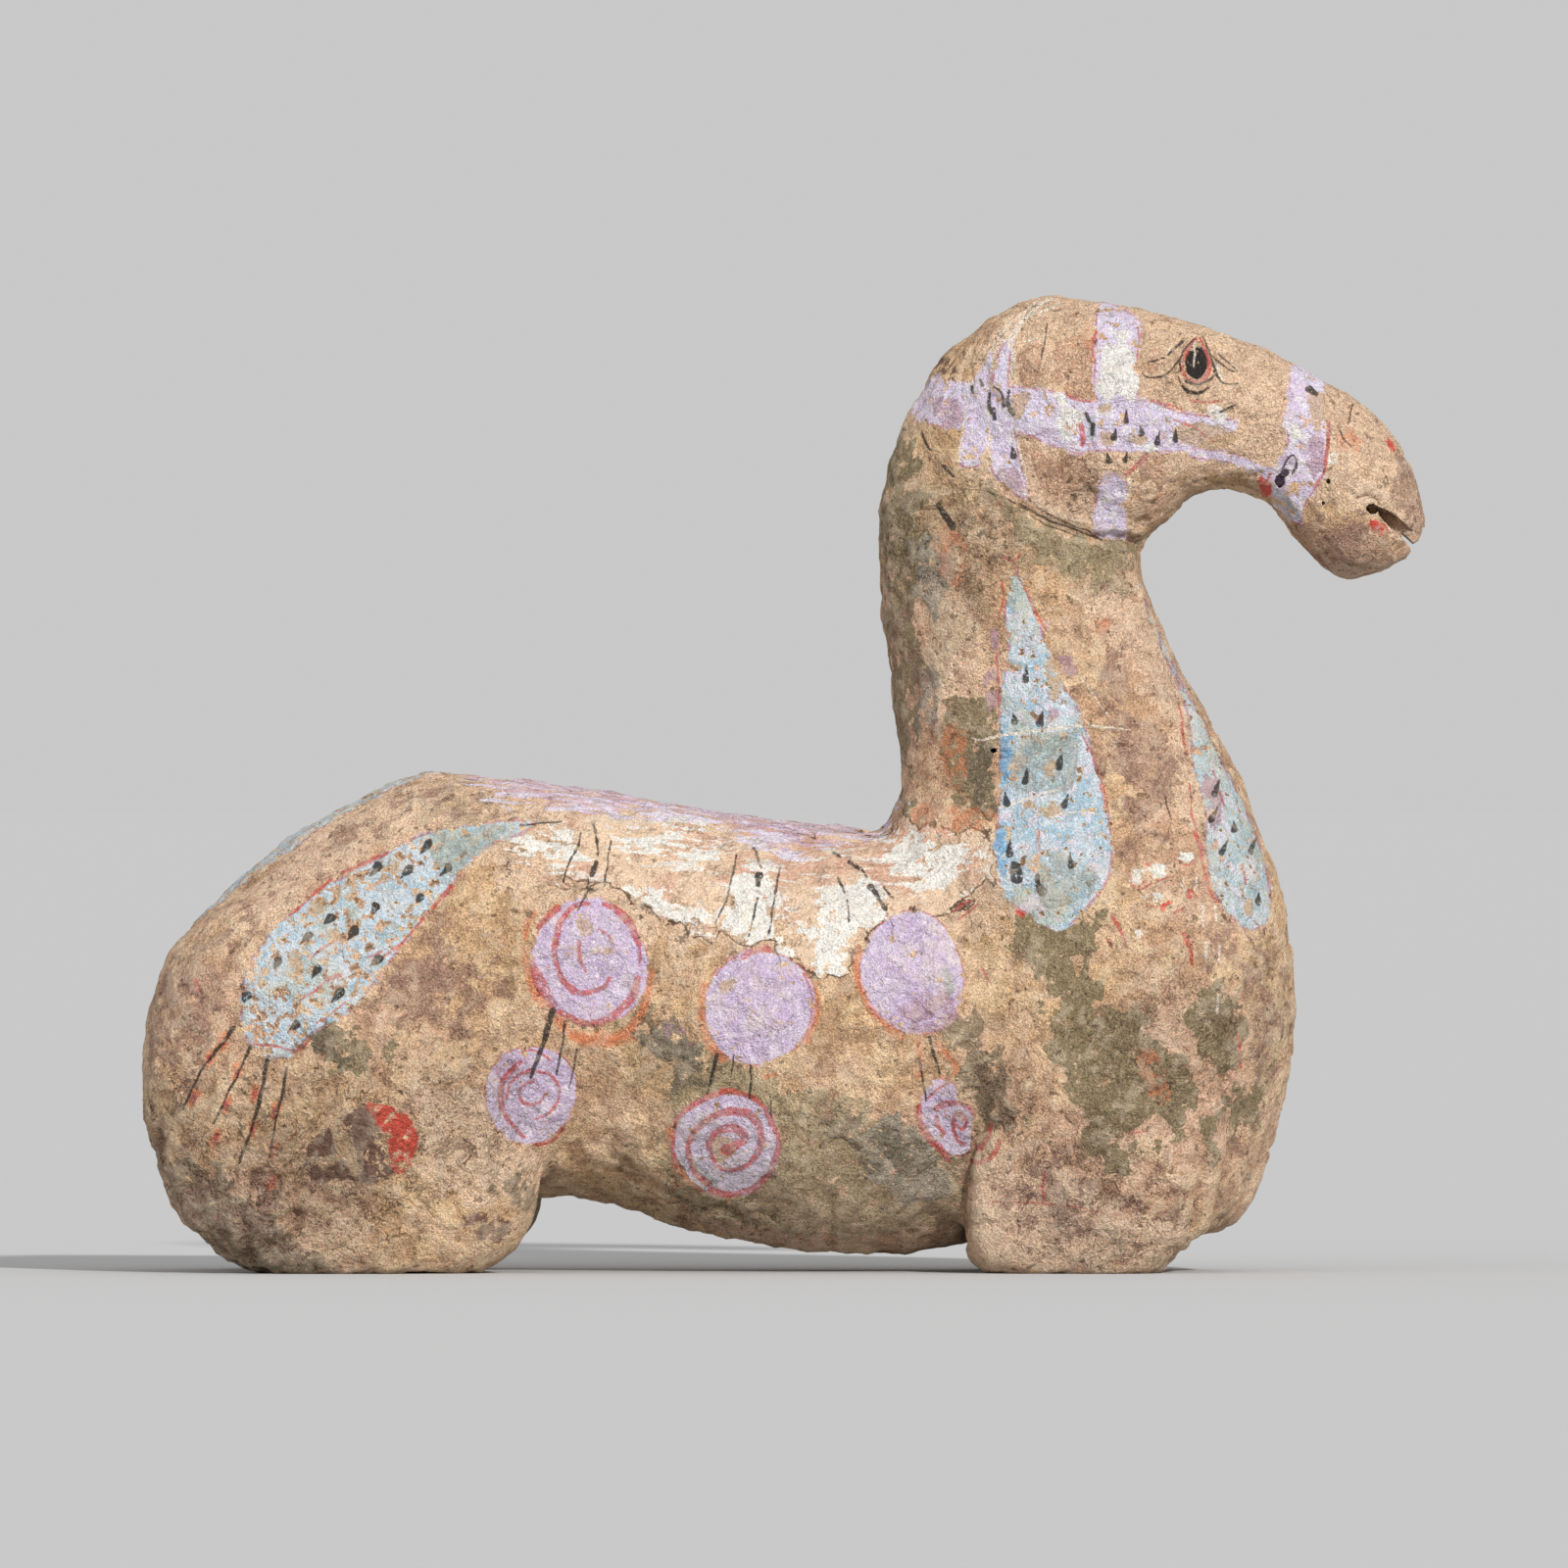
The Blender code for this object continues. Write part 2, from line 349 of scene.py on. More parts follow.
def oval(places, middle, reach):
    """Distance from an oval's middle, as a share of its reach in both directions."""
    out = places - np.array(on_side(*middle))
    return np.linalg.norm(out / (np.array(reach) * metres_per_pixel), axis=1)


# %% Modelled relief
EYE = (1219, 372)
EYE_REACH = (19, 30)
EYE_HEIGHT = 2.4 * MILLIMETRE
EYE_ROUNDNESS = 1.5
SOCKET_DEPTH = 0.7 * MILLIMETRE
SOCKET_FROM_EYE = 1.12
SOCKET_WIDTH = 0.25
FLAT_MIDDLE = 6 * MILLIMETRE
MIDDLE_FADE = 12 * MILLIMETRE


def modelled_relief(points):
    """How far each skin point stands out or lies in, in metres."""
    places = points[:, [0, 2]]
    relief = crease(places, JAW_LINE, deep=3.2, reach=4.4, lip=1.6, start=0.6)
    relief += crease(places, NECK_FOLD, deep=0.9, reach=5, start=0.4, end=0.3)
    relief += crease(places, HAUNCH_CREASE, deep=1.8, reach=9)
    relief += crease(places, ELBOW_CREASE, deep=3.2, reach=6, lip=1.2, lip_side=-1, start=0.02, end=0.6)
    relief += crease(places, CHEST_EDGE, deep=1.2, reach=4, lip=0.7, start=0.5)
    relief += crease(places, CREST_LINE, deep=1.0, reach=5, start=0.3, end=0.3)
    relief += crease(places, BELLY_STEP, deep=1.2, reach=4, start=0.5)
    relief += crease(places, NOSTRIL_LINE, deep=1.8, reach=2.6, lip=0.6, start=0.3, end=0.1)
    from_eye = oval(places, EYE, EYE_REACH)
    relief += EYE_HEIGHT * (1 - np.clip(from_eye, 0, 1) ** 2) ** EYE_ROUNDNESS
    relief -= SOCKET_DEPTH * hill(from_eye - SOCKET_FROM_EYE, SOCKET_WIDTH)
    relief += crease(places, BROW_LINE, deep=-0.9, reach=4.5, start=0.3, end=0.3)
    return relief * eased((np.abs(points[:, 1]) - FLAT_MIDDLE) / MIDDLE_FADE)


soft_points = points_of(skin)
relief = modelled_relief(soft_points)
move_points(skin, soft_points + normals_of(skin) * relief[:, None])
print("modelled relief, in mm:", relief.min() / MILLIMETRE, "to", relief.max() / MILLIMETRE)

# %% [markdown]
# Knocks
#
# A buried figure loses crumbs of clay. A few chips and cracks show clearly in the picture and get
# their own places. Others are strewn over the rest with a fixed seed, so that the horse comes out
# the same each time. A chip is a shallow dish with a steep rim, pushed into the skin. It is given
# by its place, its reach and its depth, both in millimetres.

# %% Chips and cracks
CHIPS = {
    "haunch scar": ((302, 1243), 6.5, 2.0),
    "haunch heel": ((212, 1262), 8, 1.6),
    "haunch pit": ((352, 1218), 5, 1.2),
    "thigh pit": ((462, 1196), 5, 1.3),
    "rump pit": ((186, 1150), 5, 1.0),
    "belly pit": ((640, 1183), 4, 1.3),
    "belly edge": ((905, 1268), 9, 1.4),
    "bit hole rim": ((1311, 478), 5, 1.5),
    "muzzle tip": ((1441, 492), 5, 1.0),
    "chin": ((1352, 570), 6, 0.9),
    "foot edge": ((1195, 1280), 7, 1.5),
    "keel": ((1242, 1252), 8, 1.6),
}
CRACKS = {
    "under the pendant": [(500, 905), (515, 925), (522, 960), (516, 1000)],
    "haunch": [(452, 1192), (463, 1200), (476, 1201)],
    "heel": [(255, 1205), (266, 1228), (280, 1250), (300, 1262)],
    "rump": [(160, 1140), (180, 1152), (205, 1168), (222, 1180)],
    "thigh": [(320, 1205), (345, 1222), (372, 1236), (398, 1240)],
    "neck": [(955, 520), (985, 552), (1003, 570), (1018, 590)],
    "flank": [(745, 944), (775, 958), (800, 975), (826, 984)],
    "first disc": [(548, 975), (580, 984), (615, 986), (650, 984)],
    "shoulder": [(1045, 1236), (1075, 1240), (1100, 1230), (1128, 1216)],
    "belly foot": [(560, 1207), (600, 1213), (650, 1230)],
}
print("chips:", len(CHIPS), "cracks:", len(CRACKS))

# %% Knock the skin
SEED = 11
STREWN_CHIPS = 90
STREWN_REACH = (1.8, 5.0)
STREWN_DEPTH = 0.22
RIM_SHARE = 0.45

random = np.random.default_rng(SEED)


def dish(distance, reach, deep):
    """A shallow dish with a steep rim, in metres."""
    return -deep * MILLIMETRE * eased((1 - distance / reach) / RIM_SHARE)


def knocks(points):
    """How far each point is knocked in. The named knocks lie on the horse's right side."""
    places = points[:, [0, 2]]
    near_side = points[:, 1] < 0
    made = np.zeros(len(points))
    for middle, reach, deep in CHIPS.values():
        away = np.linalg.norm(places - on_side(*middle), axis=1)
        chip = dish(away, reach * MILLIMETRE, deep)
        made = np.minimum(made, np.where(near_side, chip, 0))
    for line in CRACKS.values():
        crack = crease(places, line, deep=0.9, reach=2.8, start=0.15, end=0.15)
        made = np.minimum(made, np.where(near_side, crack, 0))
    middles = points[random.choice(len(points), STREWN_CHIPS, replace=False)]
    reaches = random.uniform(*STREWN_REACH, STREWN_CHIPS) * MILLIMETRE
    for middle, reach in zip(middles, reaches):
        away = np.linalg.norm(points - middle, axis=1)
        made = np.minimum(made, dish(away, reach, STREWN_DEPTH * reach / MILLIMETRE))
    return made


knocked = knocks(soft_points)
move_points(skin, points_of(skin) + normals_of(skin) * knocked[:, None])
print("deepest knock, in mm:", round(-knocked.min() / MILLIMETRE, 2))

# %% [markdown]
# The clay skin, by Geometry Nodes
#
# The skin of the real horse is uneven at three sizes. The maker's hands left broad lumps, the clay
# has a fine grain, and a thin outer layer has come off in flakes with crisp edges. All three
# follow rules, so a node tree makes them: it moves each point along its normal by a sum of noises.
# The tree has a named input for each size. Only the flakes need care: the paint's nodes use the
# same noise later, so each point's place before the move is kept on the mesh as an attribute.

# %% Short calls for nodes
FLAKE_SIZE = 34 * MILLIMETRE
FLAKE_DETAIL = 6.0
FLAKE_ROUGHNESS = 0.62
FLAKE_WARP = 0.35


class Wiring:
    """Short calls for the nodes of one tree. Geometry and paint both use them."""

    def __init__(self, tree):
        self.tree = tree

    def add(self, kind, **settings):
        node = self.tree.nodes.new(kind)
        for name, value in settings.items():
            setattr(node, name, value)
        return node

    def put(self, socket, value):
        if isinstance(value, bpy.types.NodeSocket):
            self.tree.links.new(value, socket)
        else:
            socket.default_value = value

    def calc(self, operation, *values, limited=False):
        node = self.add("ShaderNodeMath", operation=operation, use_clamp=limited)
        for socket, value in zip(node.inputs, values):
            self.put(socket, value)
        return node.outputs[0]

    def arrow(self, operation, one, other=None):
        """Vector arithmetic. SCALE takes a number, and LENGTH and DISTANCE give one."""
        node = self.add("ShaderNodeVectorMath", operation=operation)
        self.put(node.inputs[0], one)
        if other is not None:
            self.put(node.inputs["Scale" if operation == "SCALE" else 1], other)
        number = operation in ("LENGTH", "DISTANCE", "DOT_PRODUCT")
        return node.outputs["Value" if number else "Vector"]

    def rise(self, value, low, high):
        """Nought below low, one above high and eased between them."""
        node = self.add("ShaderNodeMapRange", interpolation_type="SMOOTHSTEP")
        for name, given in (("Value", value), ("From Min", low), ("From Max", high)):
            self.put(node.inputs[name], given)
        return node.outputs["Result"]

    def noise(self, place, size, detail=3.0, roughness=0.55, warp=0.0):
        """Noise whose broadest swells are about size metres across. Its middle value is 0.5."""
        node = self.add("ShaderNodeTexNoise")
        given = {"Vector": place, "Scale": 1 / size, "Detail": detail, "Roughness": roughness}
        given["Distortion"] = warp
        for name, value in given.items():
            self.put(node.inputs[name], value)
        return node.outputs[0]

    def flakes(self, place):
        """The noise that says where the outer layer of clay still holds."""
        return self.noise(place, FLAKE_SIZE, FLAKE_DETAIL, FLAKE_ROUGHNESS, FLAKE_WARP)


# %% The clay skin tree
WHERE_ON_CLAY = "clay_place"
FLAKE_LEVEL = 0.49
FLAKE_EDGE = 0.01
SKIN_SIZES = {
    "Lump Size": 62 * MILLIMETRE,
    "Lump Height": 8 * MILLIMETRE,
    "Ripple Size": 17 * MILLIMETRE,
    "Ripple Height": 4.8 * MILLIMETRE,
    "Grain Size": 6 * MILLIMETRE,
    "Grain Height": 3.2 * MILLIMETRE,
    "Flake Depth": 0.8 * MILLIMETRE,
}


def clay_skin_tree(material):
    """Moves each point along its normal by a sum of noises, and gives the skin its material."""
    tree = bpy.data.node_groups.new("clay_skin", "GeometryNodeTree")
    tree.interface.new_socket("Geometry", in_out="INPUT", socket_type="NodeSocketGeometry")
    for name, size in SKIN_SIZES.items():
        socket = tree.interface.new_socket(name, in_out="INPUT", socket_type="NodeSocketFloat")
        socket.default_value = size
    tree.interface.new_socket("Geometry", in_out="OUTPUT", socket_type="NodeSocketGeometry")
    skin_nodes = Wiring(tree)
    given = skin_nodes.add("NodeGroupInput").outputs
    place = skin_nodes.add("GeometryNodeInputPosition").outputs[0]
    rough = skin_nodes.add("GeometryNodeInputNamedAttribute", data_type="FLOAT")
    rough.inputs["Name"].default_value = "roughened"

    def swell(size_name, height_name, detail):
        """A noise as a height about nought, from two of the tree's inputs."""
        node = skin_nodes.add("ShaderNodeTexNoise")
        skin_nodes.put(node.inputs["Vector"], place)
        skin_nodes.put(node.inputs["Scale"], skin_nodes.calc("DIVIDE", 1.0, given[size_name]))
        skin_nodes.put(node.inputs["Detail"], detail)
        centred = skin_nodes.calc("SUBTRACT", node.outputs[0], 0.5)
        return skin_nodes.calc("MULTIPLY", centred, given[height_name])

    lumps = swell("Lump Size", "Lump Height", 1.0)
    ripples = swell("Ripple Size", "Ripple Height", 2.0)
    grain = swell("Grain Size", "Grain Height", 2.0)
    loose = skin_nodes.calc("MULTIPLY", skin_nodes.calc("ADD", ripples, grain), rough.outputs[0])
    held = skin_nodes.rise(skin_nodes.flakes(place), FLAKE_LEVEL - FLAKE_EDGE, FLAKE_LEVEL + FLAKE_EDGE)
    layer = skin_nodes.calc("MULTIPLY", held, given["Flake Depth"])
    height = skin_nodes.calc("ADD", skin_nodes.calc("ADD", lumps, loose), layer)
    outward = skin_nodes.add("GeometryNodeInputNormal").outputs[0]
    keep = skin_nodes.add("GeometryNodeStoreNamedAttribute", data_type="FLOAT_VECTOR", domain="POINT")
    skin_nodes.put(keep.inputs["Geometry"], given["Geometry"])
    keep.inputs["Name"].default_value = WHERE_ON_CLAY
    skin_nodes.put(keep.inputs["Value"], place)
    move = skin_nodes.add("GeometryNodeSetPosition")
    skin_nodes.put(move.inputs["Geometry"], keep.outputs["Geometry"])
    skin_nodes.put(move.inputs["Offset"], skin_nodes.arrow("SCALE", outward, height))
    real = skin_nodes.add("GeometryNodeRealizeInstances")
    skin_nodes.put(real.inputs["Geometry"], move.outputs["Geometry"])
    finish = skin_nodes.add("GeometryNodeSetMaterial")
    skin_nodes.put(finish.inputs["Geometry"], real.outputs["Geometry"])
    finish.inputs["Material"].default_value = material
    skin_nodes.put(skin_nodes.add("NodeGroupOutput").inputs[0], finish.outputs["Geometry"])
    return tree


# %% [markdown]
# Where the clay is rough
#
# The lower haunch, the belly and the stumps lay in wet ground, and their skin is crusted. The head,
# the neck and the painted flank are smoother. One attribute says how rough each point is, from the
# distance to a few rough places in the side view. Each has its reach in pixels and its roughness.

# %% Grow the clay skin
ROUGH_PLACES = {
    "haunch": ((310, 1200), 170, 2.6),
    "heel": ((190, 1160), 110, 2.1),
    "thigh": ((470, 1130), 110, 1.8),
    "belly": ((720, 1235), 150, 1.4),
    "elbow": ((1000, 1130), 80, 1.7),
    "shoulder": ((1100, 1230), 140, 1.6),
    "chest": ((1200, 1050), 120, 1.2),
    "jaw": ((1100, 505), 60, 1.4),
    "neck back": ((960, 560), 110, 1.5),
}
SMOOTH_CLAY = 0.75


def store(mesh, name, values):
    """Keeps a number for each point of the mesh, under a name that nodes can read."""
    attribute = mesh.attributes.new(name, "FLOAT", "POINT")
    attribute.data.foreach_set("value", values.astype(np.float32))


def roughness_of(places):
    """How rough the clay is at each place, easing from the rough places into smooth clay."""
    rough = np.full(len(places), SMOOTH_CLAY)
    for middle, reach, much in ROUGH_PLACES.values():
        away = np.linalg.norm(places - on_side(*middle), axis=1)
        near = eased(1 - away / (reach * metres_per_pixel))
        rough = np.maximum(rough, SMOOTH_CLAY + (much - SMOOTH_CLAY) * near)
    return rough


painted_pottery = bpy.data.materials.new("painted_pottery")
skin_modifier = horse.modifiers.new("clay_skin", "NODES")
store(skin, "roughened", roughness_of(points_of(skin)[:, [0, 2]]))
skin_modifier.node_group = clay_skin_tree(painted_pottery)
for socket in skin_modifier.node_group.interface.items_tree:
    if socket.name in SKIN_SIZES:
        skin_modifier[socket.identifier] = SKIN_SIZES[socket.name]
skin = plain_result(horse)
skin.attributes.remove(skin.attributes["roughened"])
print("clay skin points:", len(skin.vertices))

# %% [markdown]
# The mouth and the pierced holes
#
# The mouth is a slit that opens towards the lips. Above it the bit's hole was pushed through the
# cheek, and fine vents let the steam out in the kiln. They are holes in the real clay, so they are
# holes here too: cutters with wobbly outlines, taken out of the skin by exact Booleans. A hole is
# given by its middle, its two reaches in pixels and its depth in millimetres.

# %% Outlines of the mouth and the holes
SLIT = [(1403, 517), (1414, 521), (1424, 527), (1437, 539), (1449, 551), (1444, 560), (1438, 558),
        (1427, 548), (1417, 539), (1406, 527)]
LIPS = [(1430, 544), (1437, 550), (1442, 555), (1447, 552), (1450, 545), (1452, 538), (1468, 538),
        (1468, 590), (1441, 572), (1438, 558), (1434, 554), (1429, 549)]
SLIT_DEPTH = 12 * MILLIMETRE
HOLES = {
    "mouth_corner": ((1399, 520), 6.5, 5.0, 13),
    "bit": ((1305, 491), 5.5, 7.0, 14),
    "bit_notch": ((1310, 483), 4.0, 4.0, 8),
    "nostril_dot": ((1354, 492), 2.2, 2.6, 6),
    "cheek_dot": ((1349, 514), 1.8, 1.8, 4),
    "neck_vent": ((1013, 766), 3.4, 2.6, 14),
}
HOLE_SIDES = 18
WOBBLE = 0.16
PROUD = 10 * MILLIMETRE
NEAR_HOLE = 3 * MILLIMETRE


def cutter(name, outline, near_y, far_y):
    """A closed wall round an outline of the side view, from one depth to another."""
    shape = bmesh.new()
    rings = [[shape.verts.new((x, y, z)) for x, z in outline] for y in (near_y, far_y)]
    near, far = rings
    for number, corner in enumerate(near):
        after = (number + 1) % len(near)
        shape.faces.new((corner, near[after], far[after], far[number]))
    shape.faces.new(list(reversed(near)))
    shape.faces.new(far)
    bmesh.ops.recalc_face_normals(shape, faces=shape.faces)
    mesh = bpy.data.meshes.new(name)
    shape.to_mesh(mesh)
    shape.free()
    made = bpy.data.objects.new(name, mesh)
    bpy.context.scene.collection.objects.link(made)
    return made


def wobbly_round(middle, reach_x, reach_z):
    """A hand-pierced hole's outline in the side view."""
    turns = 2 * math.pi * np.arange(HOLE_SIDES) / HOLE_SIDES
    swell = 1 + random.uniform(-WOBBLE, WOBBLE, HOLE_SIDES)
    x, z = on_side(*middle)
    reach = np.array([reach_x, reach_z]) * metres_per_pixel
    return np.array([x, z]) + reach * np.stack([np.cos(turns), np.sin(turns)], 1) * swell[:, None]


def skin_y(points, middle, side):
    """How far out the skin lies at a place of the side view."""
    beside = points[points[:, 1] * side > 0]
    away = np.linalg.norm(beside[:, [0, 2]] - on_side(*middle), axis=1)
    return beside[away < NEAR_HOLE, 1].mean()


# %% Cut the mouth and the holes
clay_points = points_of(skin)
half_width = horse_high.y
cutters = [cutter("lips_cutter", all_on_side(LIPS), -half_width, half_width)]
for side in BOTH_SIDES:
    at_skin = skin_y(clay_points, SLIT[0], side)
    wall = (-half_width, at_skin + SLIT_DEPTH) if side < 0 else (at_skin - SLIT_DEPTH, half_width)
    cutters.append(cutter(f"mouth_cutter_{side}", all_on_side(SLIT), *wall))
for name, (middle, reach_x, reach_z, deep) in HOLES.items():
    for side in BOTH_SIDES:
        at_skin = skin_y(clay_points, middle, side)
        outside = at_skin + side * PROUD
        inside = at_skin - side * deep * MILLIMETRE
        outline = wobbly_round(middle, reach_x, reach_z)
        cutters.append(cutter(f"{name}_cutter_{side}", outline, outside, inside))
for tool in cutters:
    taken = horse.modifiers.new(tool.name, "BOOLEAN")
    taken.operation = "DIFFERENCE"
    taken.solver = "EXACT"
    taken.object = tool
skin = plain_result(horse)
for tool in cutters:
    bpy.data.objects.remove(tool)
print("cut with", len(cutters), "cutters, left with", len(skin.vertices), "points")

# %% [markdown]
# Standing on flat stumps
#
# The clay skin may have pushed a point below the floor or past the length of the solid. The
# stumps are pressed flat again, and the rest is held inside the solid's box.

# %% True up the skin
move_points(skin, np.clip(points_of(skin), np.array(horse_low), np.array(horse_high)))
skin.shade_smooth()
triangles = sum(len(face.vertices) - 2 for face in skin.polygons)
print("finished skin:", len(skin.vertices), "points,", triangles, "triangles")

# %% [markdown]
# Where the painting lies
#
# The colours were laid on freehand after the firing: pendants and a bridle, a saddle cloth, and
# discs that hang on strings. The side view is their map. Each skin point gets its place on that
# map as an attribute, which the paint's nodes read. The far side of the horse isn't seen in the
# picture. It gets the same ornament, moved a little here and there, as a hand repeats it. The
# shift dies away at the spine and the chest, where the two sides meet, and on the modelled head.
# Two places are kept free of paint: the legs' inner faces, and the middle of the nose, where a
# dab at the side view's edge would run right round the muzzle.

# %% Places on the map
MAP = "painting"
HAND_SHIFT = 5 * MILLIMETRE
SHIFT_FROM = 8 * MILLIMETRE
SHIFT_FADE = 34 * MILLIMETRE
HEAD_HEIGHT = 300 * MILLIMETRE
HEAD_FADE = 40 * MILLIMETRE


def on_map(points):
    """Each point's place in the painting, as (x, z) in metres."""
    x, y, z = points.T
    far = eased((y - SHIFT_FROM) / SHIFT_FADE) * eased((HEAD_HEIGHT - z) / HEAD_FADE)
    shift_x = HAND_SHIFT * np.sin(z / 0.045 + x / 0.11 + 1)
    shift_z = 0.8 * HAND_SHIFT * np.sin(x / 0.052 + 2.4)
    return np.stack([x + far * shift_x, z + far * shift_z], axis=1)


skin_points = points_of(skin)
map_places = on_map(skin_points)
flat_map = np.zeros((len(skin_points), 3), np.float32)
flat_map[:, :2] = map_places
skin.attributes.new(MAP, "FLOAT_VECTOR", "POINT").data.foreach_set("vector", flat_map.ravel())
print("the far side moves by up to", HAND_SHIFT / MILLIMETRE, "mm")

# %% Places without paint
INNER_LEG = 37 * MILLIMETRE
LEG_HEIGHT = 110 * MILLIMETRE
NOSE_MIDDLE = 11 * MILLIMETRE
NOSE_COLUMN = 1385
WELL_CLEAR = 1


def outer_only(points):
    """How far outside the legs' inner faces each point lies, in metres. High points are outside."""
    reach = np.abs(points[:, 1]) - INNER_LEG
    return np.where(points[:, 2] < LEG_HEIGHT, reach, WELL_CLEAR)


def beside_nose(points):
    """How far off the nose's middle each point lies, in metres. Points further back are well clear."""
    reach = np.abs(points[:, 1]) - NOSE_MIDDLE
    return np.where(points[:, 0] > on_side(NOSE_COLUMN, FEET_ROW)[0], reach, WELL_CLEAR)


outside_legs = outer_only(skin_points)
off_nose = beside_nose(skin_points)
print("points kept free of paint:", int(np.sum(np.minimum(outside_legs, off_nose) < 0)))

# %% [markdown]
# Painted areas
#
# Each paint keeps one number on the skin: how deep a point lies inside the nearest area of that
# paint, in metres, and less than nought outside. Such a number changes evenly from point to point,
# so an edge stays sharp on a fairly coarse mesh. It also gives the painter's outlines for nothing:
# a red contour is where the number is close to nought. The areas are closed lines in the side
# view, with only as many places as the shape needs, and a smooth line runs through them.

# %% Depth inside the painted areas
DEEPEST = 12 * MILLIMETRE


def inside(outline, places):
    """A place is inside if a level line from it crosses the outline an odd number of times."""
    odd = np.zeros(len(places), bool)
    for (x1, z1), (x2, z2) in zip(outline[:-1], outline[1:]):
        spans = (z1 > places[:, 1]) != (z2 > places[:, 1])
        rise = z2 - z1 if z2 != z1 else 1
        odd ^= spans & (places[:, 0] > x1 + (places[:, 1] - z1) * (x2 - x1) / rise)
    return odd


def depth_inside(outlines, places):
    """How deep each place lies inside the nearest of the outlines, and never past the deepest."""
    depth = np.full(len(places), -DEEPEST)
    for outline in outlines:
        low = outline.min(axis=0) - DEEPEST
        high = outline.max(axis=0) + DEEPEST
        near = np.all((places > low) & (places < high), axis=1)
        away = distance_to(outline, places[near])[0]
        signed = np.where(inside(outline, places[near]), away, -away)
        depth[near] = np.maximum(depth[near], signed)
    return depth


def round_area(column, row, reach_x, reach_z, wobble=0.03, turns=20):
    """A hand-painted disc as a closed outline in the picture."""
    angles = 2 * math.pi * np.arange(turns) / turns
    swell = 1 + wobble * np.sin(2 * angles + column) + wobble * np.sin(3 * angles + row)
    around = np.stack([reach_x * np.cos(angles), reach_z * np.sin(angles)], axis=1)
    return [tuple(place) for place in np.array([column, row]) + around * swell[:, None]]


print("depths run to", DEEPEST / MILLIMETRE, "mm either way")

# %% [markdown]
# The areas, one paint at a time
#
# The discs are nearly round, so each is written as a middle and two reaches. Everything else is an
# outline. The last paint areas are spots where the paint has gone, which show bare clay, and dabs
# of chalky white.

# %% The discs and the pendants
DISCS = {
    "first": (603, 980, 59, 63),
    "second": (775, 1026, 55, 59),
    "third": (930, 992, 52, 62),
    "below first": (543, 1115, 45, 50),
    "below second": (742, 1166, 53, 54),
}
WORN_DISC = [(945, 1106), (958, 1098), (972, 1105), (980, 1122), (992, 1132), (990, 1152),
             (988, 1172), (976, 1177), (962, 1171), (946, 1156), (937, 1141), (938, 1127)]
DISC_AREAS = [round_area(*disc) for disc in DISCS.values()] + [WORN_DISC]
NECK_PENDANT = [(1034, 584), (1048, 608), (1060, 636), (1068, 664), (1080, 694), (1098, 722),
                (1109, 752), (1120, 796), (1130, 836), (1133, 866), (1128, 898), (1104, 929), (1078, 949),
                (1050, 934), (1028, 918), (1016, 888), (1016, 846), (1020, 790), (1020, 710), (1029, 664),
                (1024, 632), (1029, 600)]
FRONT_PENDANT = [(1161, 595), (1182, 656), (1203, 705), (1213, 740), (1216, 780), (1228, 826), (1229, 868),
                 (1238, 912), (1262, 943), (1281, 948), (1296, 928), (1290, 880), (1272, 830),
                 (1248, 780), (1220, 724), (1190, 664)]
RUMP_PENDANT = [(546, 842), (530, 836), (470, 844), (430, 852), (392, 873), (346, 898), (306, 926),
                (272, 960), (254, 990), (250, 1030), (258, 1062), (284, 1078), (308, 1072), (318, 1055),
                (354, 1034), (390, 996), (414, 962), (446, 922), (472, 892), (498, 864), (530, 852)]
SADDLE_CLOTH = [(478, 780), (485, 800), (510, 812), (560, 822), (600, 830), (660, 832), (700, 832),
                (740, 843), (770, 858), (800, 870), (830, 866), (860, 860), (882, 856), (900, 846),
                (900, 800), (700, 760), (560, 740)]

# %% The bridle
BRIDLE = [
    [(955, 381), (975, 391), (1047, 396), (1073, 400), (1090, 405), (1110, 410), (1150, 408), (1175, 410),
     (1200, 420), (1225, 424), (1262, 430), (1262, 440), (1235, 450), (1215, 460), (1185, 463),
     (1120, 462), (1097, 465), (1063, 453), (1040, 444), (983, 442), (930, 424)],
    [(1215, 458), (1250, 461), (1275, 470), (1300, 482), (1298, 494), (1270, 480), (1245, 472),
     (1215, 469)],
    [(1122, 308), (1162, 326), (1164, 345), (1158, 378), (1158, 412), (1118, 412), (1116, 360)],
    [(1124, 487), (1140, 485), (1150, 495), (1147, 514), (1150, 548), (1115, 545), (1116, 515)],
    [(1319, 370), (1313, 400), (1308, 430), (1312, 452), (1298, 480), (1297, 505), (1304, 520),
     (1325, 537), (1332, 515), (1347, 492), (1353, 470), (1351, 430), (1350, 398), (1352, 385)],
    [(1007, 362), (1014, 364), (1010, 390), (1007, 432), (1008, 448), (1002, 468), (997, 478),
     (978, 475), (982, 440), (988, 406), (995, 384)],
    [(1008, 420), (1026, 410), (1032, 432), (1038, 450), (1041, 472), (1050, 508), (1040, 510),
     (1022, 494), (1010, 480), (1009, 450)],
    [(1022, 352), (1034, 345), (1030, 372), (1028, 396), (1012, 400), (1014, 372)],
]

